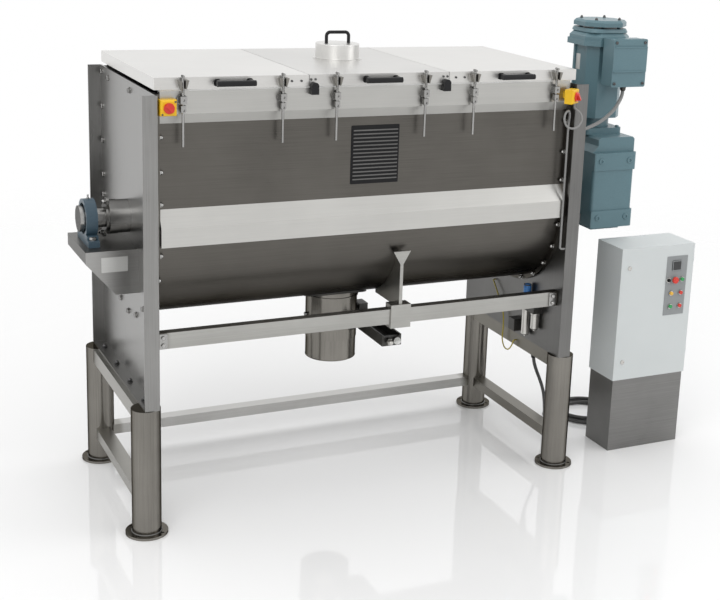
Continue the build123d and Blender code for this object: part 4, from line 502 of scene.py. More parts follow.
FINISHED_NODES: tuple[tuple[Finish, str], ...] = (
    (SHELL_STEEL, "trough_shell"),
    (RAIL_STEEL, "trough_rails"),
    (SEAL_RUBBER, "rim_seal"),
    (PLATE_STEEL, "end_plate_left"),
    # the right end plate takes the painted-shade copy of the plate steel
    (PLATE_RIGHT_PAINTED_SHADE, "end_plate_right"),
    (TUBE_STEEL, "legs"),
    (BEAM_STEEL, "frame_beams support_bracket"),
    (SHELF_STEEL, "bearing_shelves"),
    (BAR_STEEL, "hinge_brackets clamp_guides seal_housings shaft valve_disc"),
    (BAR_STEEL, "clamp_rod_1 clamp_rod_2 clamp_rod_3 clamp_rod_4 clamp_rod_5 clamp_rod_6"),
    (ROTOR_STEEL, "outer_ribbons inner_ribbons spokes"),
    (LID_STEEL, "lid_left lid_right inlet_spigot inlet_cap"),
    (LID_MIDDLE_STEEL, "lid_middle"),
    (BLACK_MOULDING, "lid_handle_left lid_handle_middle lid_handle_right cap_handle"),
    (BLACK_MOULDING, "lid_switches key_selector main_switch"),
    (YELLOW_MOULDING, "isolator_boxes"),
    (RED_MOULDING, "isolator_knob_left isolator_knob_right"),
    (RED_MOULDING, "stop_mushroom button_red_middle button_red_low"),
    (GREEN_MOULDING, "button_green_top button_green_low"),
    (BEARING_PAINT, "pillow_blocks"),
    (DRIVE_PAINT, "gearbox motor fan_cowl terminal_box"),
    (SPOUT_STEEL, "outlet_spout"),
    (DARK_METAL, "valve_actuator air_unit"),
    (CABINET_PAINT, "cabinet_case cabinet_door"),
    (PLINTH_STEEL, "cabinet_plinth"),
    (PANEL_GREY, "control_panel"),
    (LOCK_PLATE, "door_lock_top door_lock_low"),
    (GREY_SHEATH, "fixed_cables"),
    (CABLE_SHEATH, "supply_cord supply_coil"),
)
NODE_FINISH = {node: finish for finish, nodes in FINISHED_NODES for node in nodes.split()}


@dataclass
class Shell:
    """Points and four-sided faces of one or more closed surfaces, in millimetres."""

    points: np.ndarray
    faces: np.ndarray

    @staticmethod
    def grid(points: np.ndarray) -> "Shell":
        """A surface from a grid of points.

        Args:
            points: Rows by columns by three; each row goes once round the surface and closes.

        Returns:
            The shell, with one face between each four neighbours.
        """
        rows, columns = points.shape[:2]
        index = np.arange(rows * columns).reshape(rows, columns)
        after = np.roll(index, -1, axis=1)
        quads = np.stack((index[:-1], after[:-1], after[1:], index[1:]), axis=-1)
        return Shell(points.reshape(-1, 3), quads.reshape(-1, 4))

    @staticmethod
    def turned(profile: Sequence[Pair], sides: int) -> "Shell":
        """A surface of revolution about Z: every radius and height of the profile goes round in a circle.

        Args:
            profile: Radius and height pairs. They start and end at radius 0, or end where they start.
            sides: Steps round the circle.

        Returns:
            The shell.
        """
        shape = np.asarray(profile, float)
        turn = np.linspace(0.0, 2 * np.pi, sides, endpoint=False)
        radius = shape[:, 0][:, None]
        height = np.broadcast_to(shape[:, 1][:, None], (len(shape), sides))
        return Shell.grid(np.stack((radius * np.cos(turn), radius * np.sin(turn), height), axis=-1))

    @staticmethod
    def plate(width: float, height: float, thick: float, corner: float, edge: float) -> "Shell":
        """A flat plate on the XY plane with round corners and a bevelled front edge.

        The outline is a rounded rectangle; rings of it, drawn in by the bevel, are stacked along Z.

        Args:
            width: Size along X.
            height: Size along Y.
            thick: Size along Z, from zero up.
            corner: Corner radius.
            edge: Bevel of the top edge.

        Returns:
            The shell.
        """
        sides = 32
        turn = np.linspace(0.0, 2 * np.pi, sides, endpoint=False) + np.pi / sides
        round_x = np.cos(turn)
        round_y = np.sin(turn)
        spans = np.array((0.0, 1.0, 1.0, 1.0 - edge / width, 0.0))[:, None]
        levels = np.array((0.0, 0.0, thick - edge, thick, thick))[:, None]
        x = (np.sign(round_x) * (width / 2 - corner) + corner * round_x) * spans
        y = (np.sign(round_y) * (height / 2 - corner) + corner * round_y) * spans
        return Shell.grid(np.stack((x, y, np.broadcast_to(levels, x.shape)), axis=-1))

    @staticmethod
    def ring(radius: float, bead: float, sides: int = 48) -> "Shell":
        """A bead ring about Z: a small circle carried round a large one.

        Args:
            radius: Radius of the large circle.
            bead: Radius of the bead.
            sides: Steps round the large circle.

        Returns:
            The shell.
        """
        across = np.linspace(0.0, 2 * np.pi, 11)
        return Shell.turned(np.column_stack((radius + bead * np.cos(across), bead * np.sin(across))), sides)

    def placed(self, origin: Point | np.ndarray, facing: Axis = Axis.UP) -> "Shell":
        """The shell turned so that its Z faces a direction, then moved to its origin."""
        return self.repeated(np.asarray([origin], float), facing)

    def repeated(self, places: np.ndarray, facing: Axis = Axis.UP, spin: float = 0.0) -> "Shell":
        """Copies of the shell at many places, all facing one way.

        Args:
            places: One row of x, y, z for each copy.
            facing: Where each copy's Z points.
            spin: Turn about its own Z first, in degrees.

        Returns:
            One shell that holds all copies.
        """
        cos, sin = np.cos(np.radians(spin)), np.sin(np.radians(spin))
        spun = np.array(((cos, -sin, 0.0), (sin, cos, 0.0), (0.0, 0.0, 1.0)))
        out = np.asarray(facing.value)
        upright = abs(out[2]) > 0.5
        side = np.array((1.0, 0.0, 0.0)) if upright else np.cross((0.0, 0.0, 1.0), out)
        basis = np.stack((side, np.cross(out, side), out), axis=1) @ spun
        points = (np.asarray(places, float)[:, None, :] + (self.points @ basis.T)[None]).reshape(-1, 3)
        shift = np.arange(len(places))[:, None, None] * len(self.points)
        return Shell(points, (self.faces[None] + shift).reshape(-1, 4))

    @staticmethod
    def joined(shells: Sequence["Shell"]) -> "Shell":
        """Several shells as one."""
        starts = np.cumsum([0] + [len(shell.points) for shell in shells[:-1]])
        return Shell(
            np.concatenate([shell.points for shell in shells]),
            np.concatenate([shell.faces + start for shell, start in zip(shells, starts)]),
        )


@dataclass(frozen=True)
class Machine:
    """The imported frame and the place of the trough's middle in it."""

    frame: dict
    middle: np.ndarray

    @staticmethod
    def loaded() -> "Machine":
        """The machine as packed, with the trough's middle measured on its shell.

        Returns:
            The machine.
        """
        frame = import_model()
        low, high = (np.asarray(corner, float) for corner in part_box("trough_shell"))
        middle = (low + high) / 2
        middle[2] = 0.0
        return Machine(frame, middle)

    def at(self, point: Sequence[float] | np.ndarray) -> np.ndarray:
        """Row-frame metres of a place given in millimetres about the trough's middle."""
        return np.asarray(point, float) * MM + self.middle

    def dress_nodes(self) -> None:
        """Gives every CAD node its finish."""
        for name, node in self.frame["nodes"].items():
            material = NODE_FINISH[name].material()
            if not node.material_slots:
                node.data.materials.append(material)
            for place in node.material_slots:
                place.material = material


def spots(x: object, y: object, z: object) -> np.ndarray:
    """Every place whose x, y and z each come from a list or a single number, one per row."""
    return np.stack(np.meshgrid(x, y, z, indexing="ij"), axis=-1).reshape(-1, 3)


def washer(size: float) -> Shell:
    """A flat round washer for a thread of this size."""
    return Shell.turned(((0, 0), (size * 1.05, 0), (size * 1.05, size * 0.16), (0, size * 0.16)), 20)


def hex_bolt(size: float) -> Shell:
    """A hexagon bolt head on a round washer, for a thread of this size."""
    profile = np.array(((0.0, 0.16), (0.92, 0.16), (0.92, 0.66), (0.78, 0.8), (0.0, 0.8)))
    return Shell.joined((washer(size), Shell.turned(size * profile, 6)))


def dome_nut(size: float) -> Shell:
    """A dome nut on a washer: a hexagon collar under a quarter circle turned about Z.

    Args:
        size: The thread's size.

    Returns:
        The shell.
    """
    turn = np.linspace(0.0, np.pi / 2, 5)
    cap = np.column_stack((0.72 * np.cos(turn), 0.75 + 0.72 * np.sin(turn)))
    collar = np.array(((0.0, 0.16), (0.9, 0.16), (0.9, 0.7), (0.0, 0.7)))
    dome = np.concatenate((((0.0, 0.6),), cap))
    return Shell.joined((washer(size), Shell.turned(size * collar, 6), Shell.turned(size * dome, 18)))


def socket_screw(size: float) -> Shell:
    """A round screw head with a sunk socket, for a thread of this size."""
    profile = np.array(
        ((0.0, 0.0), (0.75, 0.0), (0.75, 0.5), (0.66, 0.6), (0.42, 0.6), (0.38, 0.25), (0.0, 0.25))
    )
    return Shell.turned(size * profile, 16)


def cable_gland(radius: float) -> Shell:
    """A cable gland about Z: a hexagon, a waist and a rounded cap nut round the cable.

    Args:
        radius: The cap nut's radius.

    Returns:
        The shell.
    """
    body = np.array(((0.0, 0.0), (1.15, 0.0), (1.15, 0.7), (0.0, 0.7)))
    nut = np.array(((0.0, 0.6), (1.0, 0.6), (1.0, 1.3), (0.8, 1.75), (0.6, 1.9), (0.0, 1.9)))
    return Shell.joined((Shell.turned(radius * body, 6), Shell.turned(radius * nut, 18)))


@dataclass
class Fittings:
    """A group of small pieces that one part of the machine carries."""

    machine: Machine

    def build(self) -> None:
        """Makes the group's pieces."""
        raise NotImplementedError

    def add(
        self, name: str, shell: Shell, finish: Finish, body: str = "base", crease: float = 35.0
    ) -> None:
        """Makes a mesh piece from a shell and lets it ride on a body.

        Args:
            name: The piece's name.
            shell: Its surface, in millimetres.
            finish: Its finish.
            body: The CAD body that it moves with.
            crease: Edges sharper than this many degrees stay sharp.
        """
        mesh = bpy.data.meshes.new(name)
        mesh.from_pydata(self.machine.at(shell.points).tolist(), [], shell.faces.tolist())
        work = bmesh.new()
        work.from_mesh(mesh)
        bmesh.ops.remove_doubles(work, verts=work.verts, dist=1e-6)
        bmesh.ops.dissolve_degenerate(work, edges=work.edges, dist=1e-7)
        bmesh.ops.recalc_face_normals(work, faces=work.faces)
        work.to_mesh(mesh)
        work.free()
        mesh.polygons.foreach_set("use_smooth", np.ones(len(mesh.polygons), bool))
        mesh.set_sharp_from_angle(angle=np.radians(crease))
        mesh.materials.append(finish.material())
        made = bpy.data.objects.new(name, mesh)
        bpy.context.scene.collection.objects.link(made)
        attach(made, body)
        LOG.info("piece %s: %d faces on %s", name, len(mesh.polygons), body)


@dataclass
class Trough(Fittings):
    """Flange bolts at both ends of the trough and the louvred plate on its front."""

    plate_face: float = 900.0
    flange_face: float = 878.0
    bolt_radius: float = 398.0
    shaft_height: float = 1190.0
    head_heights: tuple[float, ...] = (1712.0, 1567.0, 1422.0, 1277.0)
    nut_heights: tuple[float, ...] = (1574.0, 1443.0, 1320.0)
    head_arc: Pair = (180.0, 360.0)
    nut_arc: Pair = (190.0, 350.0)
    arc_bolts: int = 11
    top_row: Pair = (-60.0, 290.0)
    top_row_height: float = 1700.0
    head_size: float = 12.0
    nut_size: float = 11.0
    bolt_spin: float = 15.0
    louvre_middle: Point = (-4.0, -388.0, 1471.0)
    louvre: Plate = (208.0, 236.0, 2.5, 4.0, 1.0)
    louvre_margins: Pair = (14.0, 24.0)
    slat_count: int = 14
    slat_share: float = 0.36
    slat_edge: tuple[float, float, float] = (3.4, 2.0, 1.2)
    slat_seat: float = 2.3

    def bolt_places(self, x: float, arc: Pair, heights: Sequence[float]) -> np.ndarray:
        """The U of bolts at one end: an arc about the shaft under two straight rows.

        Args:
            x: The face that the bolts stand on.
            arc: First and last angle of the arc, in degrees.
            heights: Heights of the bolts in the straight rows.

        Returns:
            One row of x, y, z for each bolt.
        """
        turn = np.radians(np.linspace(*arc, self.arc_bolts))
        round_y = self.bolt_radius * np.cos(turn)
        round_z = self.shaft_height + self.bolt_radius * np.sin(turn)
        around = np.column_stack((np.full(self.arc_bolts, x), round_y, round_z))
        return np.concatenate((around, spots(x, BOTH * self.bolt_radius, heights)))

    def build(self) -> None:
        """Makes the bolts, their nuts and the louvred plate."""
        head, nut = hex_bolt(self.head_size), dome_nut(self.nut_size)
        for name, side, out, back in ENDS:
            face = side * self.plate_face
            u_row = self.bolt_places(face, self.head_arc, self.head_heights)
            top = spots(face, self.top_row, self.top_row_height)
            heads = head.repeated(np.concatenate((u_row, top)), out, self.bolt_spin)
            nut_row = self.bolt_places(side * self.flange_face, self.nut_arc, self.nut_heights)
            self.add(f"flange_bolts_{name}", heads, BOLT_STEEL)
            self.add(f"flange_nuts_{name}", nut.repeated(nut_row, back, self.bolt_spin), BOLT_STEEL)
        self.build_louvre()

    def build_louvre(self) -> None:
        """Makes the black plate with its row of slats."""
        plate = Shell.plate(*self.louvre).placed(self.louvre_middle, Axis.FRONT)
        self.add("louvre_plate", plate, LOUVRE_BLACK)
        width, height = np.subtract(self.louvre[:2], self.louvre_margins)
        pitch = height / self.slat_count
        slat = Shell.plate(width, pitch * self.slat_share, *self.slat_edge)
        x, y, z = self.louvre_middle
        heights = z + (np.arange(self.slat_count) - (self.slat_count - 1) / 2) * pitch
        slats = slat.repeated(spots(x, y - self.slat_seat, heights), Axis.FRONT)
        self.add("louvre_slats", slats, SLAT_STEEL)


@dataclass
class Stand(Fittings):
    """Bolts, cleats and weld beads of the legs, the foot flanges and the tie bar."""

    leg_x: float = 935.0
    leg_y: float = 389.0
    leg_radius: float = 57.15
    weld_bead: float = 3.2
    foot_top: float = 10.0
    flange_top: float = 528.0
    flange_bolt_x: float = 926.0
    flange_bolt_y: tuple[float, ...] = (-330.0, -110.0, 110.0, 330.0)
    flange_nut_size: float = 11.0
    tie_front: float = -396.0
    tie_middle: float = 784.0
    tie_end: float = 868.0
    tie_bolt_rise: float = 15.0
    tie_bolt_size: float = 9.0
    cleat: Plate = (36.0, 60.0, 5.0, 5.0, 1.2)

    def build(self) -> None:
        """Makes the foot welds, the foot-flange bolts and the tie bar's cleats and end bolts."""
        feet = spots(BOTH * self.leg_x, BOTH * self.leg_y, self.foot_top)
        self.add("foot_welds", Shell.ring(self.leg_radius, self.weld_bead).repeated(feet), WELD_STEEL)
        flange = spots(BOTH * self.flange_bolt_x, self.flange_bolt_y, self.flange_top)
        self.add("foot_flange_bolts", dome_nut(self.flange_nut_size).repeated(flange), DARK_BOLT)
        ends = spots(BOTH * self.tie_end, self.tie_front, self.tie_middle)
        self.add("tie_bar_cleats", Shell.plate(*self.cleat).repeated(ends, Axis.FRONT), BAR_STEEL)
        rises = self.tie_middle + BOTH * self.tie_bolt_rise
        bolts = spots(BOTH * self.tie_end, self.tie_front - self.cleat[2], rises)
        self.add("tie_bar_bolts", hex_bolt(self.tie_bolt_size).repeated(bolts, Axis.FRONT), BOLT_STEEL)


@dataclass
class Lids(Fittings):
    """Small fittings on the lids, their clamps, switches and isolators."""

    skirt: float = -414.0
    grip_middles: tuple[float, ...] = (-600.5, 0.0, 600.5)
    grip_reach: float = 63.0
    grip_height: float = 1775.0
    grip_foot: Plate = (26.0, 28.0, 5.0, 10.0, 2.0)
    names: tuple[str, ...] = ("left", "middle", "right")
    clamp_x: tuple[float, ...] = (-797.0, -410.0, -190.0, 190.0, 410.0, 797.0)
    clamp_y: float = -430.0
    rod_radius: float = 5.0
    thread_span: Pair = (1736.0, 1794.0)
    thread_count: int = 26
    thread_relief: Pair = (0.05, 0.75)
    thread_crease: float = 20.0
    screw_size: float = 6.0
    switch_x: Pair = (-283.0, 283.0)
    tongue_reach: float = 9.0
    tongue_height: float = 1779.0
    skirt_screws: Pair = (331.0, 370.0)
    skirt_screw_height: float = 1774.0
    cap_foot: Point = (5.0, 50.0, 1802.0)
    cap_radius: float = 92.0
    cap_bead: float = 1.8
    isolator_left: Point = (-855.0, -450.0, 1690.0)
    isolator_reach: Point = (24.0, 0.0, 23.0)
    isolator_screw_size: float = 5.0

    def build(self) -> None:
        """Makes the rods' threads, the grips' feet, the screws and the cap's bead."""
        low, high = self.thread_span
        heights = np.linspace(low, high, 2 * self.thread_count + 1)
        valley, ridge = self.thread_relief
        radii = self.rod_radius + np.where(np.arange(len(heights)) % 2, ridge, valley)
        thread = Shell.turned(((0, low), *zip(radii, heights), (0, high)), 14)
        for number, x in enumerate(self.clamp_x, 1):
            placed = thread.placed((x, self.clamp_y, 0.0))
            body = f"clamp_rod_{number}"
            self.add(f"clamp_thread_{number}", placed, BAR_STEEL, body, self.thread_crease)
        foot = Shell.plate(*self.grip_foot)
        for name, middle in zip(self.names, self.grip_middles):
            places = spots(middle + BOTH * self.grip_reach, self.skirt, self.grip_height)
            self.add(f"grip_feet_{name}", foot.repeated(places, Axis.FRONT), BLACK_MOULDING, f"lid_{name}")
        screw = socket_screw(self.screw_size)
        across = np.add.outer(self.switch_x, BOTH * self.tongue_reach).ravel()
        tongue = screw.repeated(spots(across, self.skirt, self.tongue_height), Axis.FRONT)
        self.add("switch_tongue_screws", tongue, DARK_BOLT, "lid_middle")
        for name, side, _, _ in ENDS:
            places = spots(side * np.array(self.skirt_screws), self.skirt, self.skirt_screw_height)
            self.add(f"skirt_screws_{name}", screw.repeated(places, Axis.FRONT), DARK_BOLT, f"lid_{name}")
        bead = Shell.ring(self.cap_radius, self.cap_bead).placed(self.cap_foot)
        self.add("cap_rim_bead", bead, LID_STEEL, "inlet_cap")
        corners = np.array(self.isolator_left) + np.outer(BOTH, self.isolator_reach)
        screws = socket_screw(self.isolator_screw_size).repeated(corners, Axis.FRONT)
        self.add("isolator_screws", screws, DARK_BOLT)


@dataclass
class Bearings(Fittings):
    """Bolts, nipples and rings of the shaft bearings and seals."""

    bearing_x: float = 1056.0
    insert_seat: float = 1067.5
    shaft_height: float = 1190.0
    base_top: float = 1119.0
    bolt_y: float = 78.0
    bolt_size: float = 15.0
    bolt_spin: float = 10.0
    nipple_foot: float = 1267.5
    gland_face: float = 994.0
    gland_bolt_reach: float = 75.0
    gland_nut_size: float = 11.0
    gland_turn: float = 22.0
    label: Plate = (103.0, 60.0, 1.2, 3.0, 0.5)
    label_middle: Point = (-993.5, -165.0, 1038.0)

    def build(self) -> None:
        """Makes the bearing bolts, nipples and insert rings, the bare label plate and the gland nuts."""
        bolts = spots(BOTH * self.bearing_x, BOTH * self.bolt_y, self.base_top)
        heads = hex_bolt(self.bolt_size).repeated(bolts, Axis.UP, self.bolt_spin)
        self.add("bearing_bolts", heads, BOLT_STEEL)
        nipple = Shell.turned(((0, 0), (5, 0), (5, 6), (3, 8), (3, 12), (4.2, 14), (3, 17), (0, 18)), 12)
        tops = spots(BOTH * self.bearing_x, 0.0, self.nipple_foot)
        self.add("grease_nipples", nipple.repeated(tops), BOLT_STEEL)
        label = Shell.plate(*self.label).placed(self.label_middle, Axis.FRONT)
        self.add("shelf_label_plate", label, BARE_PLATE)
        insert = Shell.turned(((41, 0), (60, 0), (60, 2.2), (55, 3.4), (42, 3.4), (41, 0)), 48)
        for name, side, facing, _ in ENDS:
            ring = insert.placed((side * self.insert_seat, 0.0, self.shaft_height), facing)
            self.add(f"bearing_insert_{name}", ring, BOLT_STEEL)
        turn = np.radians(self.gland_turn)
        reach = self.gland_bolt_reach * np.array((0.0, -np.sin(turn), np.cos(turn)))
        lobes = np.array((-self.gland_face, 0.0, self.shaft_height)) + np.outer(BOTH, reach)
        self.add("gland_bolts", dome_nut(self.gland_nut_size).repeated(lobes, Axis.LEFT), BOLT_STEEL)


@dataclass
class Drive(Fittings):
    """Plugs, screws, ribs and plates of the geared motor."""

    drive_x: float = 1278.0
    gear_front: float = -206.0
    plug_x: Pair = (1203.0, 1355.0)
    plug_heights: Pair = (1082.0, 1345.0)
    box_front: float = -220.0
    box_middle: float = 1304.0
    box_screw_x: Pair = (1228.0, 1380.0)
    box_screw_heights: Pair = (1700.0, 1882.0)
    box_screw_size: float = 9.0
    canopy_top: float = 1966.0
    canopy_screw_spread: float = 62.0
    canopy_nut_size: float = 8.0
    neck_top: float = 1478.0
    neck_bolt_spread: float = 80.0
    neck_bolt_size: float = 10.0
    gland: Point = (1311.0, -172.0, 1684.0)
    gland_radius: float = 13.0
    rating_plate: Plate = (34.0, 72.0, 1.0, 3.0, 0.4)
    rating_middle: Point = (1186.0, 20.0, 1772.0)
    rib: Plate = (168.0, 6.0, 6.0, 2.0, 1.6)
    rib_heights: Pair = (1754.0, 1862.0)
    crown: Plate = (216.0, 216.0, 17.0, 62.0, 12.0)
    cowl_top: float = 1912.0

    def square(self, spread: float, height: float) -> np.ndarray:
        """Four places about the motor's axis, at one height."""
        return spots(self.drive_x + BOTH * spread, BOTH * spread, height)

    def build(self) -> None:
        """Makes the plugs, screws and bolts, the gland, the bare rating plate, the ribs and the crown."""
        plug = Shell.turned(((0, 0), (14, 0), (14, 3), (12, 4.5), (7, 4.5), (6.5, 1.5), (0, 1.5)), 20)
        plugs = spots(self.plug_x, self.gear_front, self.plug_heights)
        self.add("gearbox_plugs", plug.repeated(plugs, Axis.FRONT), DRIVE_PAINT)
        box = spots(self.box_screw_x, self.box_front, self.box_screw_heights)
        screws = socket_screw(self.box_screw_size).repeated(box, Axis.FRONT)
        self.add("terminal_screws", screws, DARK_BOLT)
        tops = self.square(self.canopy_screw_spread, self.canopy_top)
        self.add("canopy_screws", dome_nut(self.canopy_nut_size).repeated(tops), DARK_BOLT)
        necks = self.square(self.neck_bolt_spread, self.neck_top)
        self.add("neck_bolts", hex_bolt(self.neck_bolt_size).repeated(necks), DRIVE_PAINT)
        gland = cable_gland(self.gland_radius).placed(self.gland, Axis.DOWN)
        self.add("terminal_gland", gland, DARK_METAL)
        plate = Shell.plate(*self.rating_plate).placed(self.rating_middle, Axis.LEFT)
        self.add("motor_bare_plate", plate, BARE_PLATE)
        ribs = spots(self.box_middle, self.box_front, self.rib_heights)
        self.add("terminal_ribs", Shell.plate(*self.rib).repeated(ribs, Axis.FRONT), DRIVE_PAINT)
        crown = Shell.plate(*self.crown).placed((self.drive_x, 0.0, self.cowl_top))
        self.add("cowl_crown", crown, DRIVE_PAINT)


@dataclass
class Discharge(Fittings):
    """Fittings of the spout, its actuator and the air unit."""

    spout_x: float = -14.0
    edge_radius: float = 107.5
    edge_bead: float = 3.0
    edge_height: float = 508.0
    trough_radius: float = 388.0
    shaft_height: float = 1190.0
    saddle_span: Pair = (113.0, 152.0)
    saddle_drop: Pair = (0.4, 9.0)
    port_face: float = -316.0
    port_x: Pair = (124.5, 160.5)
    port_height: float = 645.0
    port_cap_size: float = 15.0
    port_union_radius: float = 12.0
    air_x: float = 870.0
    regulator_y: float = -180.0
    filter_y: float = -258.0
    bowl_depths: Pair = (127.0, 78.0)
    block_low: float = 680.0
    block_top: float = 742.0

    def build(self) -> None:
        """Makes the spout's edge and saddle, the air ports and the air unit's bowls and knob."""
        edge = Shell.ring(self.edge_radius, self.edge_bead, 64)
        self.add("spout_edge_bead", edge.placed((self.spout_x, 0.0, self.edge_height)), SPOUT_STEEL)
        # Painted shade: the saddle under the trough takes the dark actuator finish because it lies in the
        # trough's shadow.
        self.add("spout_saddle_painted_shade", self.saddle(), DARK_METAL)
        left, right = spots(self.port_x, self.port_face, self.port_height)
        cap = dome_nut(self.port_cap_size).placed(right, Axis.FRONT)
        self.add("air_port_cap", cap, SEAL_RUBBER)
        union = cable_gland(self.port_union_radius).placed(left, Axis.FRONT)
        self.add("air_port_union", union, PALE_METAL)
        knob = Shell.turned(
            ((0, 0), (19, 0), (19, 5), (17.5, 8), (18.2, 12), (18.2, 40), (17, 46), (12, 52), (0, 53)), 28
        )
        top = (self.air_x, self.regulator_y, self.block_top)
        self.add("regulator_knob", knob.placed(top), BLUE_FITTING)
        bowls = [
            self.bowl(depth).placed((self.air_x, y, self.block_low), Axis.DOWN)
            for depth, y in zip(self.bowl_depths, (self.regulator_y, self.filter_y))
        ]
        self.add("air_bowls", Shell.joined(bowls), PALE_METAL)

    def saddle(self) -> Shell:
        """The pad between trough and valve body: a ring profile whose height follows the trough's arc.

        Returns:
            The shell.
        """
        inner, outer = self.saddle_span
        near, far = self.saddle_drop
        profile = np.array(((inner, near), (outer, near), (outer, far), (inner, far), (inner, near)))
        turn = np.linspace(0.0, 2 * np.pi, 72, endpoint=False)
        x = profile[:, 0][:, None] * np.cos(turn)
        y = profile[:, 0][:, None] * np.sin(turn)
        z = self.shaft_height - np.sqrt(self.trough_radius**2 - y**2) - profile[:, 1][:, None]
        return Shell.grid(np.stack((x + self.spout_x, y, z), axis=-1))

    @staticmethod
    def bowl(depth: float) -> Shell:
        """A collared bowl of this depth with a drain at its foot, turned about its axis."""
        collar = ((0, 0), (19, 0), (19, 9), (17.5, 11), (17.5, depth - 14), (18.4, depth - 12))
        foot = ((18.4, depth - 6), (14, depth), (5, depth + 1), (5, depth + 7), (0, depth + 7))
        return Shell.turned(collar + foot, 28)


@dataclass
class Cabinet(Fittings):
    """Display, lamp and bezels of the control cabinet's door."""

    panel_face: float = -380.0
    bezel_face: float = -385.0
    controls: tuple[Pair, ...] = (
        (1501.0, 809.0), (1534.0, 809.0), (1576.0, 809.0), (1521.0, 745.0),
        (1574.0, 745.0), (1521.0, 682.0), (1574.0, 682.0),
    )
    lamp: Pair = (1521.0, 745.0)
    lamp_radius: float = 8.9
    lamp_skirt: float = 5.2
    lamp_rise: float = 5.0
    display: Pair = (1543.0, 876.0)
    display_front: float = -384.0
    glass: Plate = (42.0, 40.0, 1.0, 3.0, 0.5)
    surround: Plate = (51.0, 49.0, 3.9, 4.0, 1.2)
    body: str = "cabinet_door"

    def build(self) -> None:
        """Makes the display's glass and surround, the lamp's lens and the bezels."""
        x, z = self.display
        glass = Shell.plate(*self.glass).placed((x, self.display_front, z), Axis.FRONT)
        self.add("display_glass", glass, SCREEN_BLACK, self.body)
        surround = Shell.plate(*self.surround).placed((x, self.panel_face, z), Axis.FRONT)
        self.add("display_frame", surround, BLACK_MOULDING, self.body)
        turn = np.linspace(0.0, np.pi / 2, 7)
        dome = zip(self.lamp_radius * np.cos(turn), self.lamp_skirt + self.lamp_rise * np.sin(turn))
        lens = Shell.turned(((0, 0), (self.lamp_radius, 0), *dome), 24)
        x, z = self.lamp
        self.add("lamp_lens", lens.placed((x, self.bezel_face, z), Axis.FRONT), AMBER_LENS, self.body)
        bezel = Shell.turned(((9.2, 0), (13, 0), (13, 2.5), (11.9, 5.4), (9.2, 5.4), (9.2, 0)), 32)
        places = np.insert(np.array(self.controls), 1, self.panel_face, axis=1)
        self.add("control_bezels", bezel.repeated(places, Axis.FRONT), LOCK_PLATE, self.body)


@dataclass
class SupplyCable(Fittings):
    """The free supply cable: down from its gland, round a loose coil on the floor and into the plinth."""

    radius: float = 8.0
    length: float = 3.782
    drop: tuple[Point, ...] = (
        (980.0, -90.0, 438.0), (980.0, -90.0, 390.8), (1000.0, -86.0, 337.2), (1033.9, -78.1, 273.3),
        (1067.9, -59.9, 205.1), (1096.0, -30.1, 134.3), (1125.9, 10.1, 69.1), (1159.8, 70.0, 24.4),
        (1194.9, 119.9, 9.0), (1240.1, 160.0, 9.0),
    )
    coil_middle: Pair = (1395.0, 70.0)
    coil_start: float = 128.0
    coil_turns: float = 3.36
    points_per_turn: int = 16
    coil_radii: tuple[float, float, float] = (160.0, 122.0, 147.0)
    inward_share: float = 0.62
    climb_share: float = 0.25
    levels: Pair = (9.0, 26.0)
    tail: tuple[Point, ...] = (
        (1541.0, 34.0, 26.0), (1540.0, -4.0, 25.0), (1538.0, -36.0, 17.0), (1537.0, -70.0, 12.0),
        (1533.0, -104.1, 13.0), (1527.0, -144.9, 14.0), (1527.0, -184.0, 14.0),
    )
    grommet: Pair = (9.6, 2.6)

    def coil(self) -> np.ndarray:
        """The coil's points: clockwise, spiralling in on the floor, then out again one layer up.

        Returns:
            One row of x, y, z for each point.
        """
        steps = np.linspace(0.0, 1.0, int(self.coil_turns * self.points_per_turn))
        turn = np.radians(self.coil_start - 360.0 * self.coil_turns * steps)
        outer, inner, last = self.coil_radii
        inward = np.clip(steps / self.inward_share, 0.0, 1.0)
        outward = np.clip((steps - self.inward_share) / (1.0 - self.inward_share), 0.0, 1.0)
        climb = np.clip(outward / self.climb_share, 0.0, 1.0)
        spread = np.clip((outward - self.climb_share) / (1.0 - self.climb_share), 0.0, 1.0)
        reach = outer + (inner - outer) * inward + (last - inner) * spread
        low, high = self.levels
        x, y = self.coil_middle
        level = low + (high - low) * climb * climb * (3.0 - 2.0 * climb)
        return np.column_stack((x + reach * np.cos(turn), y + reach * np.sin(turn), level))

    def build(self) -> None:
        """Makes the cable as one smooth open curve of its real length, its sleeve and its grommet."""
        route = self.machine.at(np.concatenate((self.drop, self.coil(), self.tail)))
        data = bpy.data.curves.new("supply_cable", "CURVE")
        data.dimensions = "3D"
        data.resolution_u = 6
        data.bevel_depth = self.radius * MM
        data.bevel_resolution = 4
        line = data.splines.new("NURBS")
        line.points.add(len(route) - 1)
        line.points.foreach_set("co", np.column_stack((route, np.ones(len(route)))).ravel())
        line.order_u = 3
        line.use_endpoint_u = True
        data.materials.append(CABLE_SHEATH.material())
        cable = bpy.data.objects.new("supply_cable", data)
        bpy.context.scene.collection.objects.link(cable)
        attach(cable, "base")
        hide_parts("supply_cord", "supply_coil")
        LOG.info("piece supply_cable: %d points", len(route))
        sleeve = Shell.turned(((0, 0), (15, 0), (15, 5), (13.5, 7), (10.5, 40), (9.5, 41), (0, 41)), 24)
        self.add("cable_sleeve", sleeve.placed(self.drop[0], Axis.DOWN), BLACK_MOULDING)
        grommet = Shell.ring(*self.grommet, 24).placed(self.tail[-1], Axis.REAR)
        self.add("plinth_grommet", grommet, BLACK_MOULDING)


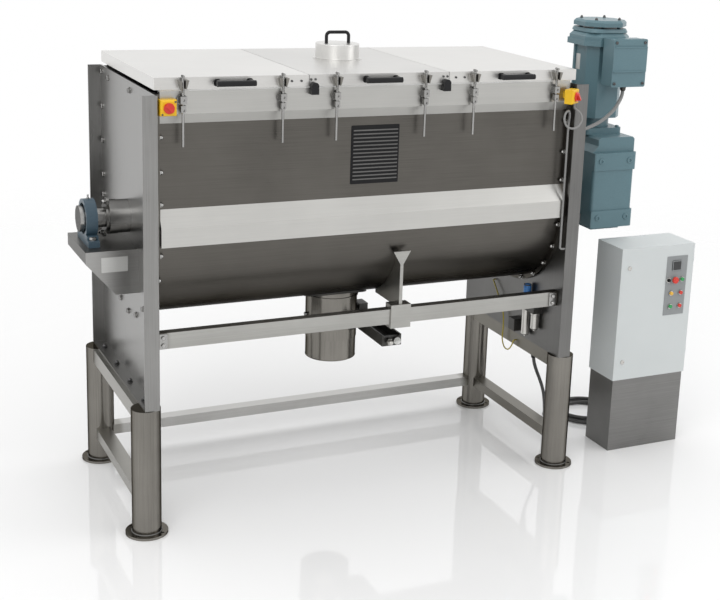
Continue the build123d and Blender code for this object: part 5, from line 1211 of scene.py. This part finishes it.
@dataclass
class Studio:
    """Floor, light and camera at the photograph's angle."""

    machine: Machine
    eye: Point = (-2167.2, -5176.8, 2481.3)
    azimuth: float = -27.17
    elevation: float = 14.11
    roll: float = 2.58
    focal_px: float = 1339.5
    centre_px: Pair = (437.2, 232.1)
    frame_px: Pair = (720.0, 600.0)
    sensor: float = 36.0
    far_clip: float = 60.0
    floor_rings: tuple[float, ...] = (0.0, 2.0, 4.0, 9.0)
    floor_level: float = -0.0005
    floor_colour: Colour = (0.93, 0.93, 0.93)
    floor_roughness: float = 0.05
    floor_fade: Pair = (2.6, 6.0)
    dome_strength: float = 1.12
    dome_low: Colour = (0.42, 0.42, 0.42)
    dome_high: Colour = (1.0, 1.0, 1.0)
    dome_rise: float = 0.75
    lamps: tuple[tuple[str, Point, Point, float, float], ...] = (
        ("key_left", (-3.2, -3.6, 4.6), (0.2, 0.0, 0.9), 3.2, 60.0),
        ("top_soft", (0.2, 0.6, 5.2), (0.2, 0.0, 1.0), 4.0, 11.0),
        ("fill_right", (4.4, -3.4, 3.0), (0.3, 0.0, 1.0), 2.6, 30.0),
    )

    def build(self) -> None:
        """Makes the floor, the world, the lamps and the camera."""
        self.make_floor()
        self.make_world()
        for name, place, target, size, power in self.lamps:
            self.make_lamp(name, place, target, size, power)
        self.make_camera()
        bpy.context.scene.view_settings.view_transform = "Standard"

    def make_floor(self) -> None:
        """A round pale floor that fades out at its edge: rings of points from the middle outwards."""
        shell = Shell.turned([(radius, self.floor_level) for radius in self.floor_rings], 64)
        mesh = bpy.data.meshes.new("studio_floor")
        mesh.from_pydata(shell.points.tolist(), [], shell.faces.tolist())
        mesh.materials.append(self.floor_material())
        floor = bpy.data.objects.new("studio_floor", mesh)
        bpy.context.scene.collection.objects.link(floor)

    def floor_material(self) -> bpy.types.Material:
        """White floor with a faint polish, see-through towards its rim.

        Returns:
            The material.
        """
        material = bpy.data.materials.new("floor_pale_polished")
        material.use_nodes = True
        tree = material.node_tree
        shader = tree.nodes["Principled BSDF"]
        shader.inputs["Base Color"].default_value = (*self.floor_colour, 1.0)
        shader.inputs["Roughness"].default_value = self.floor_roughness
        shader.inputs["Specular IOR Level"].default_value = 0.5
        place = tree.nodes.new("ShaderNodeTexCoord")
        far = add_node(tree, "ShaderNodeVectorMath", operation="LENGTH")
        tree.links.new(place.outputs["Object"], far.inputs[0])
        fade = mapped(tree, far.outputs["Value"], self.floor_fade, (1.0, 0.0))
        tree.links.new(fade, shader.inputs["Alpha"])
        return material

    def make_world(self) -> None:
        """A dome of light, paler overhead, and plain white for camera, glossy and transmission rays."""
        world = bpy.data.worlds.new("studio_dome")
        bpy.context.scene.world = world
        world.use_nodes = True
        tree = world.node_tree
        links = tree.links
        tree.nodes.clear()
        out = tree.nodes.new("ShaderNodeOutputWorld")
        dome = add_node(tree, "ShaderNodeBackground", {"Strength": self.dome_strength})
        white = add_node(tree, "ShaderNodeBackground", {"Color": (1.0, 1.0, 1.0, 1.0)})
        place = tree.nodes.new("ShaderNodeTexCoord")
        split = tree.nodes.new("ShaderNodeSeparateXYZ")
        ramp = tree.nodes.new("ShaderNodeValToRGB")
        low, high = ramp.color_ramp.elements
        low.color = (*self.dome_low, 1.0)
        high.color = (*self.dome_high, 1.0)
        high.position = self.dome_rise
        path = tree.nodes.new("ShaderNodeLightPath")
        mix = tree.nodes.new("ShaderNodeMixShader")
        links.new(place.outputs["Generated"], split.inputs["Vector"])
        links.new(split.outputs["Z"], ramp.inputs["Fac"])
        links.new(ramp.outputs["Color"], dome.inputs["Color"])
        seen = path.outputs["Is Camera Ray"]
        for ray in ("Is Glossy Ray", "Is Transmission Ray"):
            either = add_node(tree, "ShaderNodeMath", operation="MAXIMUM")
            links.new(seen, either.inputs[0])
            links.new(path.outputs[ray], either.inputs[1])
            seen = either.outputs["Value"]
        links.new(seen, mix.inputs["Fac"])
        links.new(dome.outputs["Background"], mix.inputs[1])
        links.new(white.outputs["Background"], mix.inputs[2])
        links.new(mix.outputs["Shader"], out.inputs["Surface"])

    def make_lamp(self, name: str, place: Point, target: Point, size: float, power: float) -> None:
        """A square soft lamp.

        Args:
            name: The lamp's name.
            place: Where it hangs, in metres.
            target: What it looks at, in metres.
            size: Its side, in metres.
            power: Its power, in watts.
        """
        light = bpy.data.lights.new(name, "AREA")
        light.shape = "SQUARE"
        light.size = size
        light.energy = power
        lamp = bpy.data.objects.new(name, light)
        back = np.asarray(place) - np.asarray(target)
        back = back / np.linalg.norm(back)
        right = np.cross((0.0, 1.0, 0.0) if abs(back[2]) > 0.95 else (0.0, 0.0, 1.0), back)
        right = right / np.linalg.norm(right)
        up = np.cross(back, right)
        lamp.matrix_world = self.pose(right, up, back, np.asarray(place))
        bpy.context.scene.collection.objects.link(lamp)

    @staticmethod
    def pose(right: np.ndarray, up: np.ndarray, back: np.ndarray, place: np.ndarray) -> Matrix:
        """A world matrix from three directions and a place.

        Args:
            right: Where X points.
            up: Where Y points.
            back: Where Z points.
            place: The origin, in metres.

        Returns:
            The matrix.
        """
        grid = np.eye(4)
        grid[:3, :4] = np.column_stack((right, up, back, place))
        return Matrix(grid.tolist())

    def make_camera(self) -> None:
        """The camera: turned by azimuth, elevation and roll, with the photograph's own centre."""
        az, el, roll = np.radians((self.azimuth, self.elevation, self.roll))
        back = np.array((np.sin(az) * np.cos(el), -np.cos(az) * np.cos(el), np.sin(el)))
        flat = np.array((np.cos(az), np.sin(az), 0.0))
        up = np.cross(back, flat)
        right = np.cos(roll) * flat + np.sin(roll) * up
        upright = -np.sin(roll) * flat + np.cos(roll) * up
        width, height = self.frame_px
        data = bpy.data.cameras.new("photo_camera")
        data.sensor_fit = "HORIZONTAL"
        data.sensor_width = self.sensor
        data.lens = self.focal_px * self.sensor / width
        data.shift_x = (width / 2 - self.centre_px[0]) / width
        data.shift_y = (self.centre_px[1] - height / 2) / width
        data.clip_end = self.far_clip
        camera = bpy.data.objects.new("photo_camera", data)
        camera.matrix_world = self.pose(right, upright, back, self.machine.at(self.eye))
        bpy.context.scene.collection.objects.link(camera)
        bpy.context.scene.camera = camera


def main() -> None:
    """Builds every sub-assembly in order."""
    logging.basicConfig(level=logging.INFO, format="%(message)s")
    for old in list(bpy.data.objects):
        bpy.data.objects.remove(old)
    machine = Machine.loaded()
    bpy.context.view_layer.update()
    machine.dress_nodes()
    Studio(machine).build()
    for part in (Trough, Stand, Lids, Bearings, Drive, Discharge, Cabinet, SupplyCable):
        part(machine).build()


if __name__ == "__main__":
    main()
